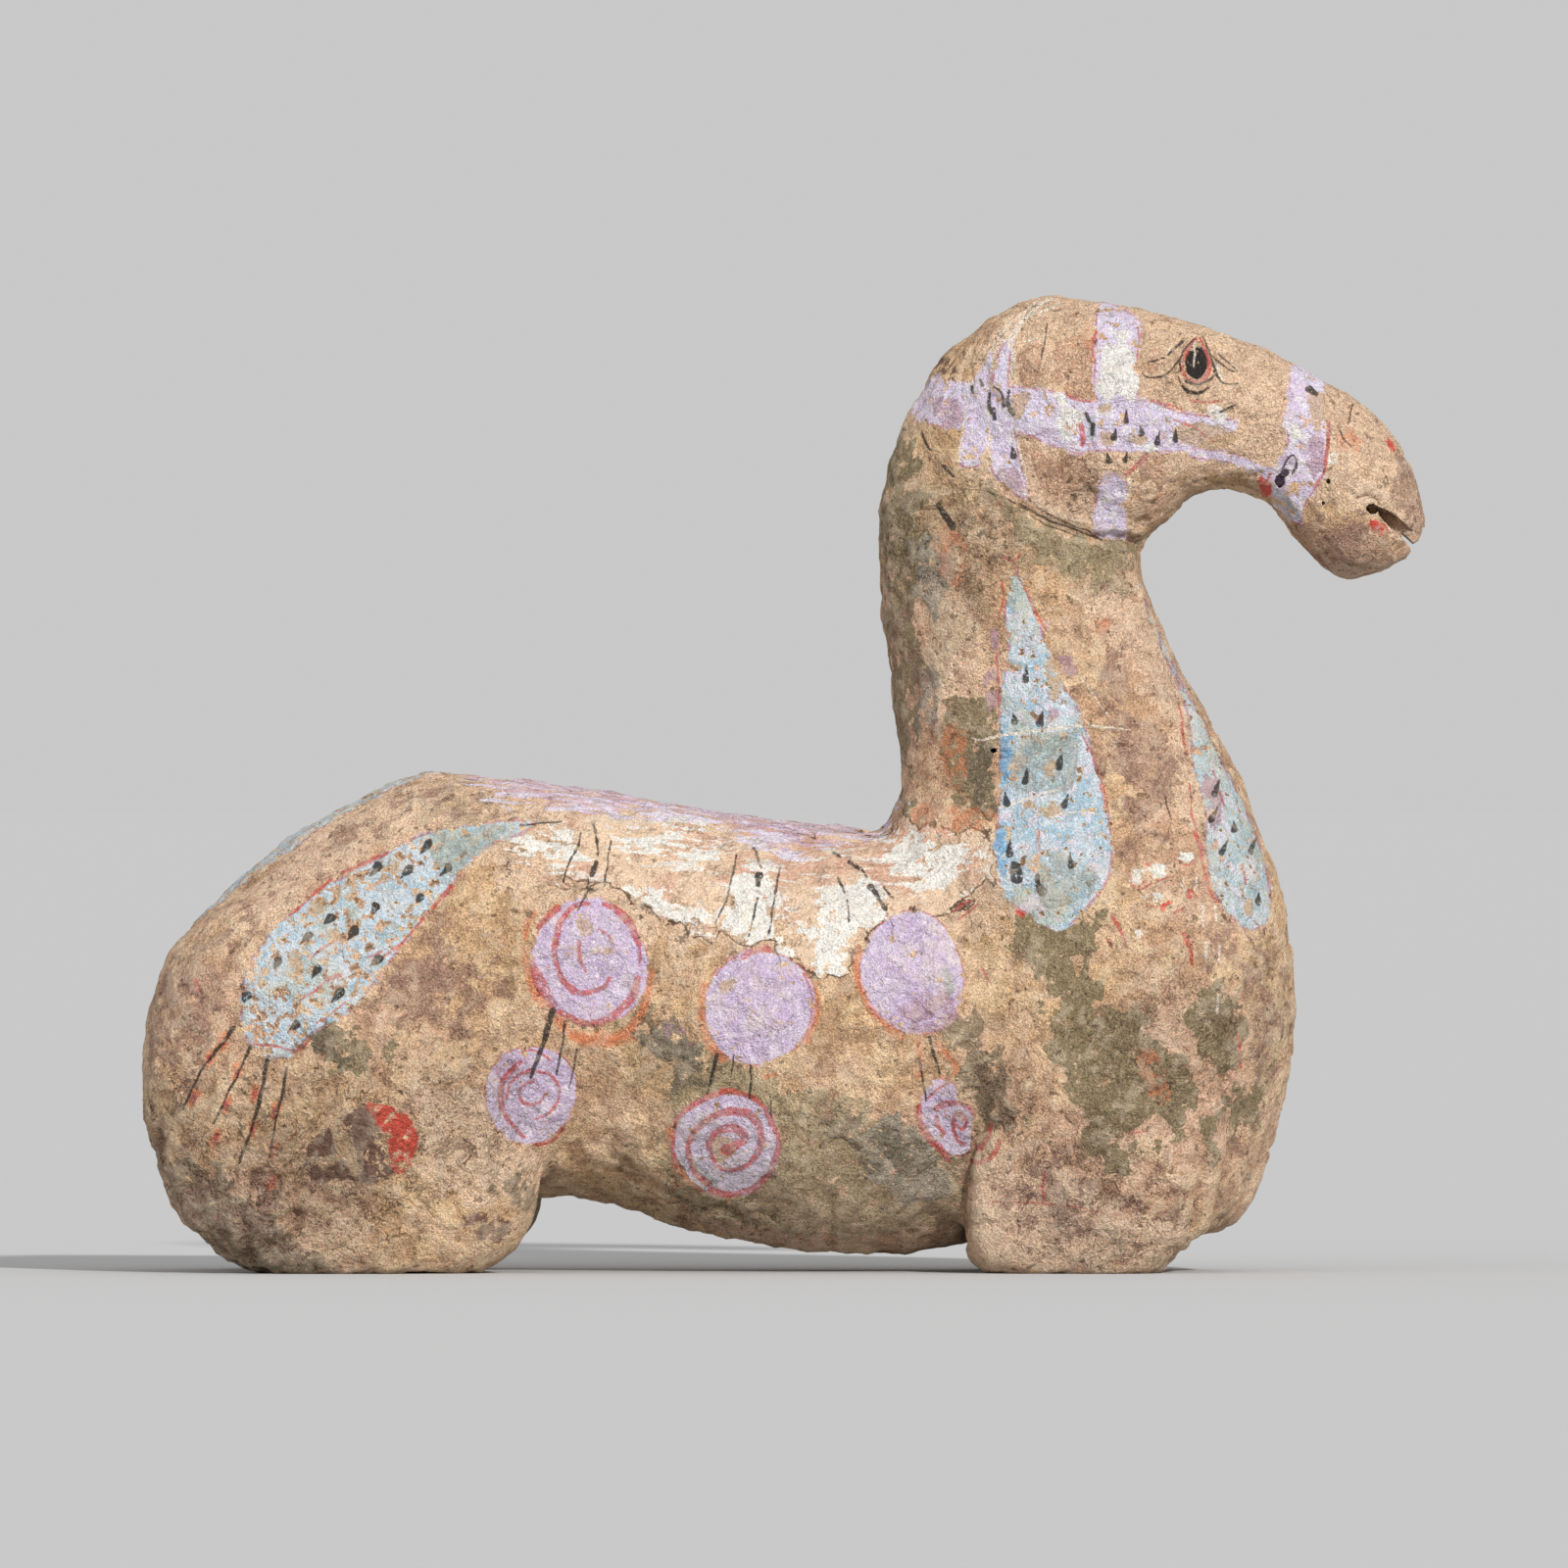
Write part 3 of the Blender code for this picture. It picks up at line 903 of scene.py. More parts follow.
# %% The ground on the back
SLIP = [[(480, 800), (600, 800), (740, 820), (840, 850), (930, 840), (1000, 850), (1010, 890), (975, 925),
         (905, 940), (880, 962), (862, 994), (840, 994), (812, 984), (790, 966), (770, 961), (740, 951),
         (700, 948), (660, 926), (625, 906), (590, 898), (545, 910), (500, 900)]]
CREAM = [
    [(748, 893), (765, 889), (785, 893), (783, 908), (794, 922), (790, 940), (802, 953), (814, 957),
     (811, 985), (795, 968), (778, 959), (760, 967), (745, 957), (731, 946), (738, 930), (746, 912)],
    [(835, 925), (848, 908), (870, 903), (892, 906), (903, 926), (903, 942), (880, 950), (855, 958),
     (838, 950)],
    [(833, 956), (850, 953), (862, 962), (863, 980), (852, 996), (842, 992), (835, 978)],
    [(808, 944), (836, 950), (836, 962), (815, 960)],
    [(683, 835), (720, 836), (715, 850), (688, 848)],
    [(640, 856), (700, 862), (735, 880), (700, 884), (660, 874)],
    [(630, 905), (680, 915), (730, 938), (700, 944), (655, 925)],
    [(905, 860), (950, 852), (990, 870), (960, 900), (915, 895)],
    [(535, 860), (575, 850), (590, 872), (560, 884)],
]
print("patches of slip:", len(SLIP), "and of cream:", len(CREAM))

# %% Red, maroon and soot
RED = [
    [(374, 1122), (395, 1124), (412, 1132), (428, 1148), (426, 1176), (414, 1196), (402, 1188), (396, 1160),
     (388, 1142)],
    [(1036, 929), (1048, 922), (1050, 930), (1040, 936)],
    [(1166, 882), (1172, 880), (1168, 888)],
    [(1180, 925), (1190, 918), (1192, 922), (1184, 930)],
    [(1208, 908), (1219, 908), (1217, 916), (1210, 916)],
    [(1396, 530), (1410, 536), (1414, 544), (1402, 544)],
    [(1283, 484), (1298, 488), (1296, 506), (1286, 503)],
    [(1100, 434), (1105, 438), (1106, 454), (1099, 452)],
    [(1412, 450), (1424, 446), (1430, 458), (1420, 460)],
]
MAROON = [
    [(315, 1170), (340, 1145), (370, 1128), (385, 1135), (395, 1165), (408, 1190), (385, 1206),
     (350, 1200), (330, 1208), (318, 1195)],
    [(472, 1240), (500, 1236), (522, 1245), (515, 1264), (490, 1262)],
    [(950, 367), (968, 364), (978, 374), (972, 390), (958, 388)],
]
SOOT = [
    [(1208, 370), (1210, 359), (1217, 353), (1224, 353), (1230, 361), (1232, 372), (1227, 384), (1219, 389),
     (1211, 384)],
]
print("patches of red:", len(RED), "of maroon:", len(MAROON), "of soot:", len(SOOT))

# %% Dabs of thin colour
ORANGE = [
    [(962, 740), (985, 745), (985, 800), (966, 800)],
    [(932, 822), (1010, 826), (1012, 845), (945, 850)],
    [(955, 540), (985, 545), (980, 600), (960, 590)],
    [(1364, 438), (1380, 436), (1390, 452), (1380, 468), (1366, 458)],
    [(1154, 1072), (1170, 1066), (1186, 1090), (1194, 1118), (1182, 1128), (1166, 1112)],
    [(585, 1045), (640, 1052), (650, 1064), (600, 1068), (570, 1050)],
    [(1112, 632), (1128, 630), (1132, 646), (1116, 648)],
    [(1104, 336), (1118, 336), (1116, 358), (1106, 356)],
]
MAUVE = [
    [(1004, 684), (1018, 684), (1019, 720), (1010, 731), (1004, 716)],
    [(1010, 643), (1018, 641), (1020, 662), (1012, 664)],
    [(1060, 618), (1072, 622), (1076, 640), (1066, 642)],
    [(1078, 668), (1094, 672), (1098, 690), (1084, 688)],
    [(1064, 725), (1078, 724), (1078, 736), (1066, 736)],
    [(950, 410), (970, 406), (984, 420), (980, 440), (960, 434)],
    [(1016, 484), (1036, 476), (1046, 502), (1030, 500)],
    [(1224, 790), (1236, 786), (1246, 815), (1240, 850), (1228, 822)],
    [(905, 1035), (945, 1010), (975, 1015), (975, 1040), (950, 1052), (920, 1050)],
    [(505, 1085), (530, 1078), (528, 1096), (512, 1104)],
    [(674, 1046), (690, 1040), (704, 1052), (688, 1062)],
    [(1338, 446), (1350, 450), (1350, 478), (1338, 490), (1332, 470)],
]
AZURE = [
    [(1020, 735), (1032, 733), (1032, 780), (1026, 800), (1020, 796)],
    [(1014, 845), (1027, 843), (1026, 890), (1018, 893)],
]
SMOKE = [
    [(1032, 756), (1096, 750), (1098, 776), (1092, 806), (1050, 808), (1030, 800)],
    [(1058, 878), (1076, 868), (1104, 880), (1120, 898), (1108, 916), (1082, 925), (1060, 920)],
    [(438, 854), (470, 846), (518, 840), (504, 862), (480, 877), (466, 894), (448, 884)],
    [(395, 940), (412, 944), (404, 956), (388, 960)],
    [(1110, 428), (1118, 426), (1118, 444), (1110, 447)],
    [(1301, 500), (1316, 508), (1326, 530), (1312, 526)],
    [(706, 1185), (722, 1192), (735, 1210), (718, 1208)],
    [(958, 990), (968, 988), (976, 1012), (966, 1018)],
]
print("dabs of orange, mauve, azure and smoke:", len(ORANGE + MAUVE + AZURE + SMOKE))

# %% Bare spots
BARE = [
    [(588, 933), (604, 934), (606, 955), (594, 954)],
    [(607, 966), (630, 965), (630, 972), (608, 972)],
    [(727, 1160), (745, 1156), (752, 1164), (744, 1184), (730, 1182)],
    [(1064, 676), (1080, 676), (1080, 710), (1072, 714), (1066, 694)],
    [(1062, 818), (1082, 822), (1078, 832), (1062, 832)],
    [(1044, 818), (1052, 818), (1052, 827), (1044, 826)],
    [(1064, 774), (1076, 778), (1074, 794), (1064, 790)],
    [(320, 916), (334, 916), (334, 930), (322, 930)],
    [(398, 879), (411, 879), (410, 891), (400, 891)],
    [(354, 898), (370, 900), (364, 920), (354, 912)],
    [(338, 948), (349, 948), (347, 960), (339, 958)],
    [(298, 972), (310, 970), (312, 992), (300, 998)],
    [(1030, 404), (1050, 403), (1044, 424), (1034, 426)],
    [(1118, 414), (1133, 414), (1132, 422), (1120, 423)],
    [(1122, 444), (1134, 442), (1134, 457), (1124, 456)],
    [(1148, 446), (1167, 445), (1164, 453), (1149, 453)],
    [(1336, 402), (1352, 406), (1350, 430), (1340, 440), (1334, 420)],
    [(1196, 436), (1230, 432), (1260, 446), (1240, 460), (1205, 452)],
    [(1268, 918), (1277, 920), (1274, 934), (1267, 930)],
    [(735, 1002), (748, 998), (750, 1010), (738, 1012)],
    [(340, 1150), (352, 1140), (372, 1190), (362, 1196)],
    [(330, 1180), (346, 1176), (344, 1186), (330, 1190)],
]
print("bare spots:", len(BARE))

# %% Chalk and beads
BEADS = [(1158, 894, 8, 9), (1180, 888, 10, 7), (1208, 875, 10, 6), (1176, 916, 10, 6), (1158, 950, 5, 6),
         (1359, 470, 6, 7)]
CHALK = [
    [(1122, 354), (1136, 352), (1158, 362), (1157, 410), (1140, 404), (1128, 412), (1119, 400),
     (1122, 372)],
    [(1073, 402), (1082, 402), (1090, 414), (1080, 416)],
    [(1080, 420), (1098, 416), (1106, 430), (1098, 436), (1092, 450), (1080, 446)],
    [(1138, 340), (1150, 342), (1148, 352), (1140, 350)],
    [(1230, 415), (1246, 418), (1250, 428), (1236, 430)],
    [(1168, 456), (1182, 456), (1178, 462), (1168, 462)],
    [(1316, 432), (1326, 436), (1324, 450), (1314, 446)],
    [(1232, 888), (1242, 900), (1248, 922), (1238, 908)],
]
CHALK += [round_area(*bead) for bead in BEADS]
print("dabs of chalk:", len(CHALK))

# %% Every paint by its name
PAINT_AREAS = {
    "slip": SLIP,
    "cream": CREAM,
    "red": RED,
    "maroon": MAROON,
    "soot": SOOT,
    "orange": ORANGE,
    "bridle": BRIDLE,
    "disc": DISC_AREAS,
    "pendant": [NECK_PENDANT, FRONT_PENDANT, RUMP_PENDANT],
    "saddle_cloth": [SADDLE_CLOTH],
    "mauve": MAUVE,
    "azure": AZURE,
    "smoke": SMOKE,
    "bare": BARE,
    "chalk": CHALK,
}
print("paints:", list(PAINT_AREAS))

# %% [markdown]
# Stains
#
# Damp earth has stained the clay in broad patches: olive and moss on the belly, the chest and the
# neck, ash and dusk where it is darkest, plum and a purple brown mottle where a thin wash is left.
# Under the jaw the olive and damp areas also paint the shadow that the cheek casts on the neck, and
# along the neck's back edge and in the elbow's hollow the moss and dusk also paint shade.
# The pale areas are the cleanest clay. They are areas like the paints, but the nodes will give
# them edges that follow the clay's plates.

# %% Green and purple stains
STAIN_AREAS = {
    "olive": [
        # Under the jaw: a stain, and the painted shadow that the cheek casts on the neck.
        [(1012, 505), (1050, 530), (1100, 552), (1152, 552), (1160, 574), (1140, 596), (1100, 586),
         (1050, 560), (1020, 536)],
        [(700, 1065), (760, 1085), (800, 1110), (870, 1125), (960, 1160), (985, 1200), (975, 1260),
         (900, 1268), (820, 1266), (740, 1240), (690, 1225)],
    ],
    "moss": [
        [(1045, 940), (1122, 938), (1116, 970), (1100, 990), (1120, 1006), (1144, 1030), (1154, 1010),
         (1164, 1020), (1176, 1060), (1200, 1081), (1214, 1084), (1222, 1120), (1236, 1128),
         (1240, 1176), (1230, 1170),
         (1210, 1122), (1200, 1160), (1181, 1154), (1166, 1150), (1149, 1146), (1147, 1190), (1126, 1182),
         (1106, 1160), (1098, 1120), (1078, 1084), (1069, 1045), (1075, 1020), (1051, 994)],
        [(1216, 1022), (1235, 1010), (1257, 1020), (1263, 1056), (1257, 1082), (1248, 1094), (1226, 1080)],
        [(1244, 1118), (1270, 1100), (1286, 1124), (1280, 1148), (1252, 1140)],
        [(330, 1045), (355, 1055), (385, 1062), (398, 1075), (370, 1082), (340, 1085), (322, 1070)],
        # Along the neck's back edge: a stain, and painted shade.
        [(903, 440), (925, 450), (936, 520), (944, 570), (938, 620), (946, 680), (930, 730), (926, 800),
         (916, 820), (908, 760), (902, 560)],
        [(958, 724), (980, 714), (1012, 736), (1015, 800), (1010, 828), (984, 816), (966, 788)],
    ],
    "plum": [
        [(1326, 536), (1345, 530), (1362, 540), (1380, 532), (1392, 540), (1412, 560), (1437, 566),
         (1440, 576),
         (1410, 580), (1376, 592), (1350, 586), (1334, 562)],
        [(1434, 474), (1424, 486), (1420, 500), (1430, 518), (1438, 536), (1450, 548), (1458, 530),
         (1456, 490),
         (1444, 476)],
        [(1130, 690), (1150, 690), (1150, 728), (1186, 750), (1190, 806), (1166, 836), (1150, 800),
         (1136, 770)],
        [(205, 960), (228, 985), (232, 1030), (218, 1060), (196, 1040), (190, 990)],
        [(412, 990), (440, 968), (470, 972), (466, 1000), (440, 1012), (452, 1036), (430, 1046),
         (408, 1020)],
    ],
}
print("green and purple stains:", sum(map(len, STAIN_AREAS.values())))

# %% Dark stains
STAIN_AREAS |= {
    "ash": [
        [(922, 1148), (950, 1158), (966, 1185), (950, 1196), (930, 1182)],
        [(655, 1050), (690, 1044), (712, 1066), (690, 1086), (664, 1074)],
        [(934, 565), (952, 560), (964, 600), (956, 660), (940, 640)],
        [(940, 696), (953, 690), (958, 722), (944, 740)],
        [(880, 1150), (920, 1140), (960, 1170), (960, 1215), (900, 1220)],
    ],
    "damp_and_shade": [
        # Under the jaw: a stain, and the cheek's painted shadow on the neck.
        [(925, 480), (1000, 500), (1040, 530), (1100, 556), (1152, 552), (1162, 580), (1150, 606),
         (1110, 600),
         (1040, 574), (1010, 620), (975, 680), (945, 690), (930, 600)],
        [(1270, 980), (1300, 960), (1322, 1040), (1316, 1140), (1290, 1200), (1268, 1160), (1274, 1080)],
        [(630, 1040), (700, 1050), (760, 1090), (720, 1140), (660, 1120)],
        [(440, 820), (500, 812), (510, 832), (450, 838)],
    ],
    "dusk": [
        # In the elbow's hollow: a stain, and painted shade.
        [(958, 1040), (985, 1040), (1008, 1068), (1030, 1104), (1036, 1142), (1022, 1150), (1000, 1120),
         (978, 1080)],
        [(655, 1030), (690, 1040), (720, 1070), (725, 1098), (690, 1100), (660, 1070)],
        [(992, 768), (1014, 772), (1014, 822), (996, 824)],
        [(848, 1140), (900, 1150), (950, 1172), (945, 1200), (880, 1190), (855, 1170)],
        [(510, 1200), (560, 1210), (700, 1262), (640, 1268), (545, 1245)],
        [(180, 1200), (215, 1190), (320, 1284), (250, 1297), (195, 1250)],
        [(322, 1055), (350, 1062), (348, 1080), (326, 1074)],
    ],
}
print("and dark ones:", sum(map(len, STAIN_AREAS.values())))

# %% Rust, pale clay and mottle
STAIN_AREAS |= {
    "rust": [
        [(1080, 352), (1100, 344), (1116, 350), (1116, 405), (1102, 410), (1085, 402), (1075, 385)],
        [(1042, 450), (1065, 458), (1108, 468), (1108, 492), (1085, 504), (1060, 498), (1046, 474)],
        [(1040, 362), (1062, 356), (1062, 380), (1044, 392), (1034, 388)],
        [(1164, 372), (1184, 370), (1186, 384), (1168, 386)],
        [(1120, 634), (1132, 632), (1130, 646), (1120, 644)],
        [(1180, 440), (1186, 470), (1192, 510), (1180, 540), (1172, 500)],
    ],
    "pale": [
        [(1000, 480), (975, 400), (1015, 330), (1068, 295), (1150, 295), (1300, 340), (1400, 395),
         (1462, 480),
         (1462, 560), (1400, 520), (1330, 510), (1240, 490), (1180, 540), (1110, 552), (1040, 512)],
        [(300, 850), (480, 780), (700, 800), (900, 840), (1020, 850), (1025, 940), (960, 965), (880, 985),
         (700, 965), (560, 950), (520, 910), (440, 860), (330, 905), (260, 940)],
        [(430, 1110), (500, 1120), (560, 1190), (500, 1230), (440, 1190)],
        [(1100, 600), (1170, 620), (1230, 780), (1215, 840), (1190, 740), (1150, 690), (1120, 640)],
        [(1000, 1180), (1060, 1190), (1180, 1240), (1220, 1290), (1010, 1290)],
        [(940, 600), (990, 600), (985, 680), (960, 740), (940, 700)],
    ],
    "mottle": [
        [(380, 985), (420, 955), (500, 970), (510, 1030), (450, 1062), (400, 1045)],
        [(140, 950), (190, 960), (230, 1010), (232, 1100), (190, 1130), (150, 1080)],
        [(440, 800), (500, 815), (500, 835), (400, 850), (300, 905), (230, 975), (220, 950), (330, 850)],
        [(1125, 680), (1140, 676), (1150, 730), (1190, 750), (1188, 810), (1165, 838), (1135, 840),
         (1122, 790)],
        [(1148, 858), (1185, 850), (1190, 866), (1160, 874)],
        [(1330, 520), (1365, 530), (1400, 540), (1415, 560), (1435, 566), (1400, 578), (1372, 590),
         (1350, 582), (1335, 555)],
        [(1415, 415), (1440, 440), (1450, 480), (1456, 530), (1450, 548), (1430, 530), (1415, 510),
         (1420, 480)],
        [(1225, 960), (1300, 950), (1325, 1010), (1320, 1100), (1290, 1180), (1262, 1230), (1250, 1180),
         (1275, 1100), (1262, 1030)],
        [(1010, 1200), (1080, 1180), (1130, 1210), (1200, 1230), (1180, 1262), (1080, 1262), (1010, 1250)],
        [(900, 560), (930, 640), (940, 740), (920, 760), (903, 660)],
        [(150, 1140), (230, 1200), (300, 1262), (230, 1280), (170, 1210)],
        [(260, 1180), (300, 1200), (310, 1230), (270, 1225)],
    ],
}
print("kinds of stain:", len(STAIN_AREAS))

# %% [markdown]
# The pendant along the spine
#
# The side view shows the pendant on the spine only as a thin edge, so it is drawn from above: a
# drop that swells towards its round end. Then every area's depth goes onto the skin.

# %% Keep the depths on the skin
SPINE_PENDANT_TIP = 490
SPINE_PENDANT_END = 196
SPINE_PENDANT_HALF_WIDTH = 30 * MILLIMETRE
DROP_FULLNESS = 2.7
DROP_TIP = 0.1
BACK_HEIGHT = 120 * MILLIMETRE


def spine_pendant_depth(points):
    """How deep each point lies inside the drop along the spine, seen from above."""
    tip = on_side(SPINE_PENDANT_TIP, FEET_ROW)[0]
    end = on_side(SPINE_PENDANT_END, FEET_ROW)[0]
    share = np.clip((tip - points[:, 0]) / (tip - end), 0, 1)
    half_width = SPINE_PENDANT_HALF_WIDTH * (DROP_FULLNESS * share * np.sqrt(1 - share) - DROP_TIP)
    depth = half_width - np.abs(points[:, 1])
    return np.where(points[:, 2] > BACK_HEIGHT, np.clip(depth, -DEEPEST, DEEPEST), -DEEPEST)


for name, areas in (PAINT_AREAS | STAIN_AREAS).items():
    depth = depth_inside([flowing(area) for area in areas], map_places)
    if name == "pendant":
        depth = np.maximum(depth, spine_pendant_depth(skin_points))
    limit = np.minimum(outside_legs, off_nose) if name in PAINT_AREAS else outside_legs
    store(skin, name, np.minimum(depth, limit))
    print(name, "covers", round(100 * np.mean(depth > 0), 1), "% of the points")

# %% [markdown]
# Brush strokes
#
# The strings, the tassels, the spirals and the lines round the eye are only one or two millimetres
# wide, which is finer than the mesh. So they aren't kept as depths. Every stroke is cut into
# short straight pieces with a half width at each end, and each face of the skin remembers the few
# pieces nearest to it. A value that belongs to a face doesn't blend into the next one, so the
# paint's nodes can work out the exact distance to the stroke at every spot, however fine. A
# stroke is written as its places in the picture and its half widths at both ends, in pixels.

# %% Ink strings
INK = [
    ([(602, 905), (597, 915), (591, 927)], 1.2, 0.9),
    ([(566, 1030), (560, 1050), (552, 1073), (543, 1097)], 3.4, 2.0),
    ([(578, 1042), (576, 1060), (569, 1094)], 1.7, 1.2),
    ([(590, 1070), (587, 1088), (582, 1107)], 1.0, 0.7),
    ([(732, 1075), (728, 1092), (722, 1113)], 2.2, 1.2),
    ([(749, 1075), (748, 1086), (746, 1097)], 0.9, 0.7),
    ([(766, 1087), (766, 1104), (764, 1119)], 1.2, 0.9),
    ([(786, 1117), (787, 1126), (787, 1136)], 1.0, 0.7),
    ([(937, 1078), (940, 1098), (944, 1121)], 1.2, 1.0),
    ([(947, 1057), (952, 1072), (958, 1093)], 1.5, 1.2),
    ([(532, 842), (554, 840), (574, 837)], 1.1, 0.8),
    ([(242, 1047), (228, 1066), (206, 1096), (190, 1130)], 2.2, 0.8),
    ([(259, 1066), (248, 1090), (236, 1115), (222, 1144)], 1.6, 1.1),
    ([(277, 1080), (270, 1115), (260, 1150), (248, 1184)], 2.2, 1.6),
    ([(297, 1088), (291, 1118), (284, 1150), (279, 1178)], 1.6, 1.1),
]
print("ink strings:", len(INK))

# %% Ink on the head and the neck
INK += [
    # The first four strokes follow the cheek's edge: lampblack as the painted shadow in the jaw's crease.
    ([(993, 500), (1010, 503), (1030, 512), (1048, 522)], 0.4, 0.9),
    ([(1040, 515), (1072, 533), (1097, 541), (1124, 551)], 0.9, 1.2),
    ([(1060, 520), (1085, 534), (1112, 543)], 0.6, 0.9),
    ([(1046, 523), (1066, 536), (1088, 544), (1106, 550)], 0.6, 0.6),
    ([(1201, 386), (1205, 395), (1211, 401)], 1.2, 1.8),
    ([(1211, 402), (1222, 403), (1232, 397)], 2.0, 0.9),
    ([(1209, 390), (1219, 395), (1229, 391), (1236, 385)], 1.6, 1.3),
    ([(1216, 347), (1209, 357), (1203, 368), (1203, 380)], 0.8, 1.2),
    ([(1205, 350), (1199, 356), (1191, 363)], 1.8, 1.2),
    ([(1204, 365), (1197, 375), (1189, 383), (1180, 387), (1170, 387), (1165, 382)], 1.2, 0.8),
    ([(1186, 367), (1176, 370), (1166, 373), (1160, 377)], 1.1, 0.7),
    ([(1226, 344), (1232, 357), (1236, 371), (1240, 384)], 0.8, 1.2),
    ([(1237, 380), (1243, 389), (1252, 393), (1262, 392)], 1.6, 1.0),
    ([(1234, 361), (1242, 370), (1252, 378), (1258, 381)], 1.0, 0.7),
    ([(1243, 362), (1252, 370), (1261, 380)], 0.7, 0.6),
    ([(1245, 421), (1259, 415)], 1.5, 0.9),
    ([(1308, 478), (1313, 468), (1319, 465), (1322, 474), (1318, 484)], 1.3, 1.0),
    ([(1380, 413), (1377, 424), (1374, 433)], 1.1, 0.7),
    ([(1366, 440), (1371, 450), (1377, 457)], 1.0, 0.7),
    ([(1335, 398), (1342, 402)], 4.0, 2.6),
    ([(1067, 332), (1065, 350), (1063, 368)], 0.7, 0.5),
    ([(992, 396), (993, 402)], 1.8, 1.2),
    ([(1000, 389), (1002, 394)], 1.6, 1.8),
    ([(1009, 402), (1008, 415), (1011, 422)], 1.6, 2.0),
    ([(1014, 396), (1021, 402), (1024, 416)], 1.2, 1.6),
    ([(1029, 400), (1027, 412), (1033, 424)], 1.4, 2.6),
    ([(1013, 418), (1014, 428)], 2.2, 2.4),
    ([(1108, 424), (1111, 432)], 2.4, 1.6),
    ([(1114, 434), (1113, 444)], 2.4, 2.0),
    ([(958, 516), (963, 526), (971, 538)], 2.6, 4.2),
    ([(963, 476), (968, 482), (973, 487)], 2.2, 1.4),
    ([(940, 443), (944, 450), (948, 459)], 1.6, 1.0),
    ([(1034, 884), (1036, 895)], 5.5, 6.5),
    ([(1058, 893), (1058, 903), (1062, 910)], 2.4, 4.6),
    ([(1188, 812), (1190, 824), (1193, 836)], 0.9, 0.7),
]
print("plain ink strokes:", len(INK))

# %% Worn ink lines
BROKEN_LINES = [
    ([(751, 873), (749, 890), (741, 919), (730, 943)], 1.1),
    ([(769, 865), (774, 876), (778, 886)], 1.5),
    ([(775, 893), (774, 904)], 3.8),
    ([(773, 916), (769, 934), (763, 956)], 1.2),
    ([(796, 885), (792, 903), (790, 920), (785, 955)], 1.3),
    ([(851, 870), (859, 875)], 1.6),
    ([(867, 880), (879, 887)], 2.4),
    ([(880, 888), (885, 896)], 1.0),
    ([(856, 896), (862, 913)], 1.3),
    ([(864, 919), (866, 941)], 1.1),
    ([(888, 904), (896, 915), (904, 929)], 2.6),
    ([(902, 905), (912, 918)], 1.4),
    ([(594, 850), (592, 862), (582, 880), (576, 900)], 1.2),
    ([(607, 842), (610, 858), (611, 874)], 1.5),
    ([(609, 880), (605, 894)], 3.0),
    ([(602, 899), (599, 908)], 1.1),
    ([(624, 858), (621, 880), (617, 906)], 0.9),
]
print("worn ink lines:", len(BROKEN_LINES))

# %% Drops and dashes
DASH_LENGTH = 6.0
DASH_GAP = 1.6
DROP_TIP_WIDTH = 0.7
DROPS = {
    "neck pendant": (0.1, 12, 4.0, [(1046, 687), (1062, 732), (1033, 732), (1081, 776), (1046, 790),
                                    (1025, 814), (1087, 816), (1029, 864), (1091, 876)]),
    "front pendant": (0.3, 12, 3.6, [(1241, 803), (1237, 830), (1258, 842), (1248, 863), (1278, 862),
                                     (1283, 915)]),
    "rump pendant": (0.8, -8, 5.0, [(435, 866), (455, 889), (429, 918), (415, 891), (384, 889), (384, 928),
                                     (337, 939), (361, 954), (324, 992), (385, 981), (285, 984), (346, 1016),
                                     (302, 1048), (254, 1018), (314, 958)]),
    "bridle": (0.0, 10, 3.2, [(1148, 425), (1137, 443), (1162, 440), (1181, 447), (1198, 444),
                              (1130, 467), (1148, 467), (1033, 460)]),
}


def drops(slant, length, width, places):
    """Small drops from a loaded brush, each a little unlike the others."""
    made = []
    for number, (column, row) in enumerate(places):
        half = length / 2 * (1 + 0.25 * math.cos(1.7 * number))
        lean = (slant + 0.3 * math.sin(2.3 * number)) * half
        wide = width * (1 + 0.2 * math.sin(3.1 * number))
        ends = [(column + lean, row - half), (column - lean, row + half)]
        made.append((ends, DROP_TIP_WIDTH, wide))
    return made


def dashes(places, half_width):
    """A line that has worn away between short dashes of uneven width."""
    path = [np.array(place, float) for place in places]
    made = []
    for start, end in zip(path, path[1:]):
        length = np.linalg.norm(end - start)
        count = max(1, round(length / DASH_LENGTH))
        gap = DASH_GAP / length if count > 1 else 0
        for number in range(count):
            begin = start + (end - start) * number / count
            finish = start + (end - start) * ((number + 1) / count - gap)
            swell = 1 + 0.35 * math.sin(2.7 * number + begin[0])
            made.append(([tuple(begin), tuple(finish)], half_width * swell, 0.8 * half_width))
    return made


for group in DROPS.values():
    INK += drops(*group)
for line in BROKEN_LINES:
    INK += dashes(*line)
print("ink strokes in all:", len(INK))

# %% Red lines on the discs


def arc(column, row, reach_x, reach_z, start, end, steps=7):
    """Part of an oval, by angles in degrees: 0 is to the right and 90 is below."""
    angles = np.radians(np.linspace(start, end, steps))
    return [(column + reach_x * math.cos(turn), row + reach_z * math.sin(turn)) for turn in angles]


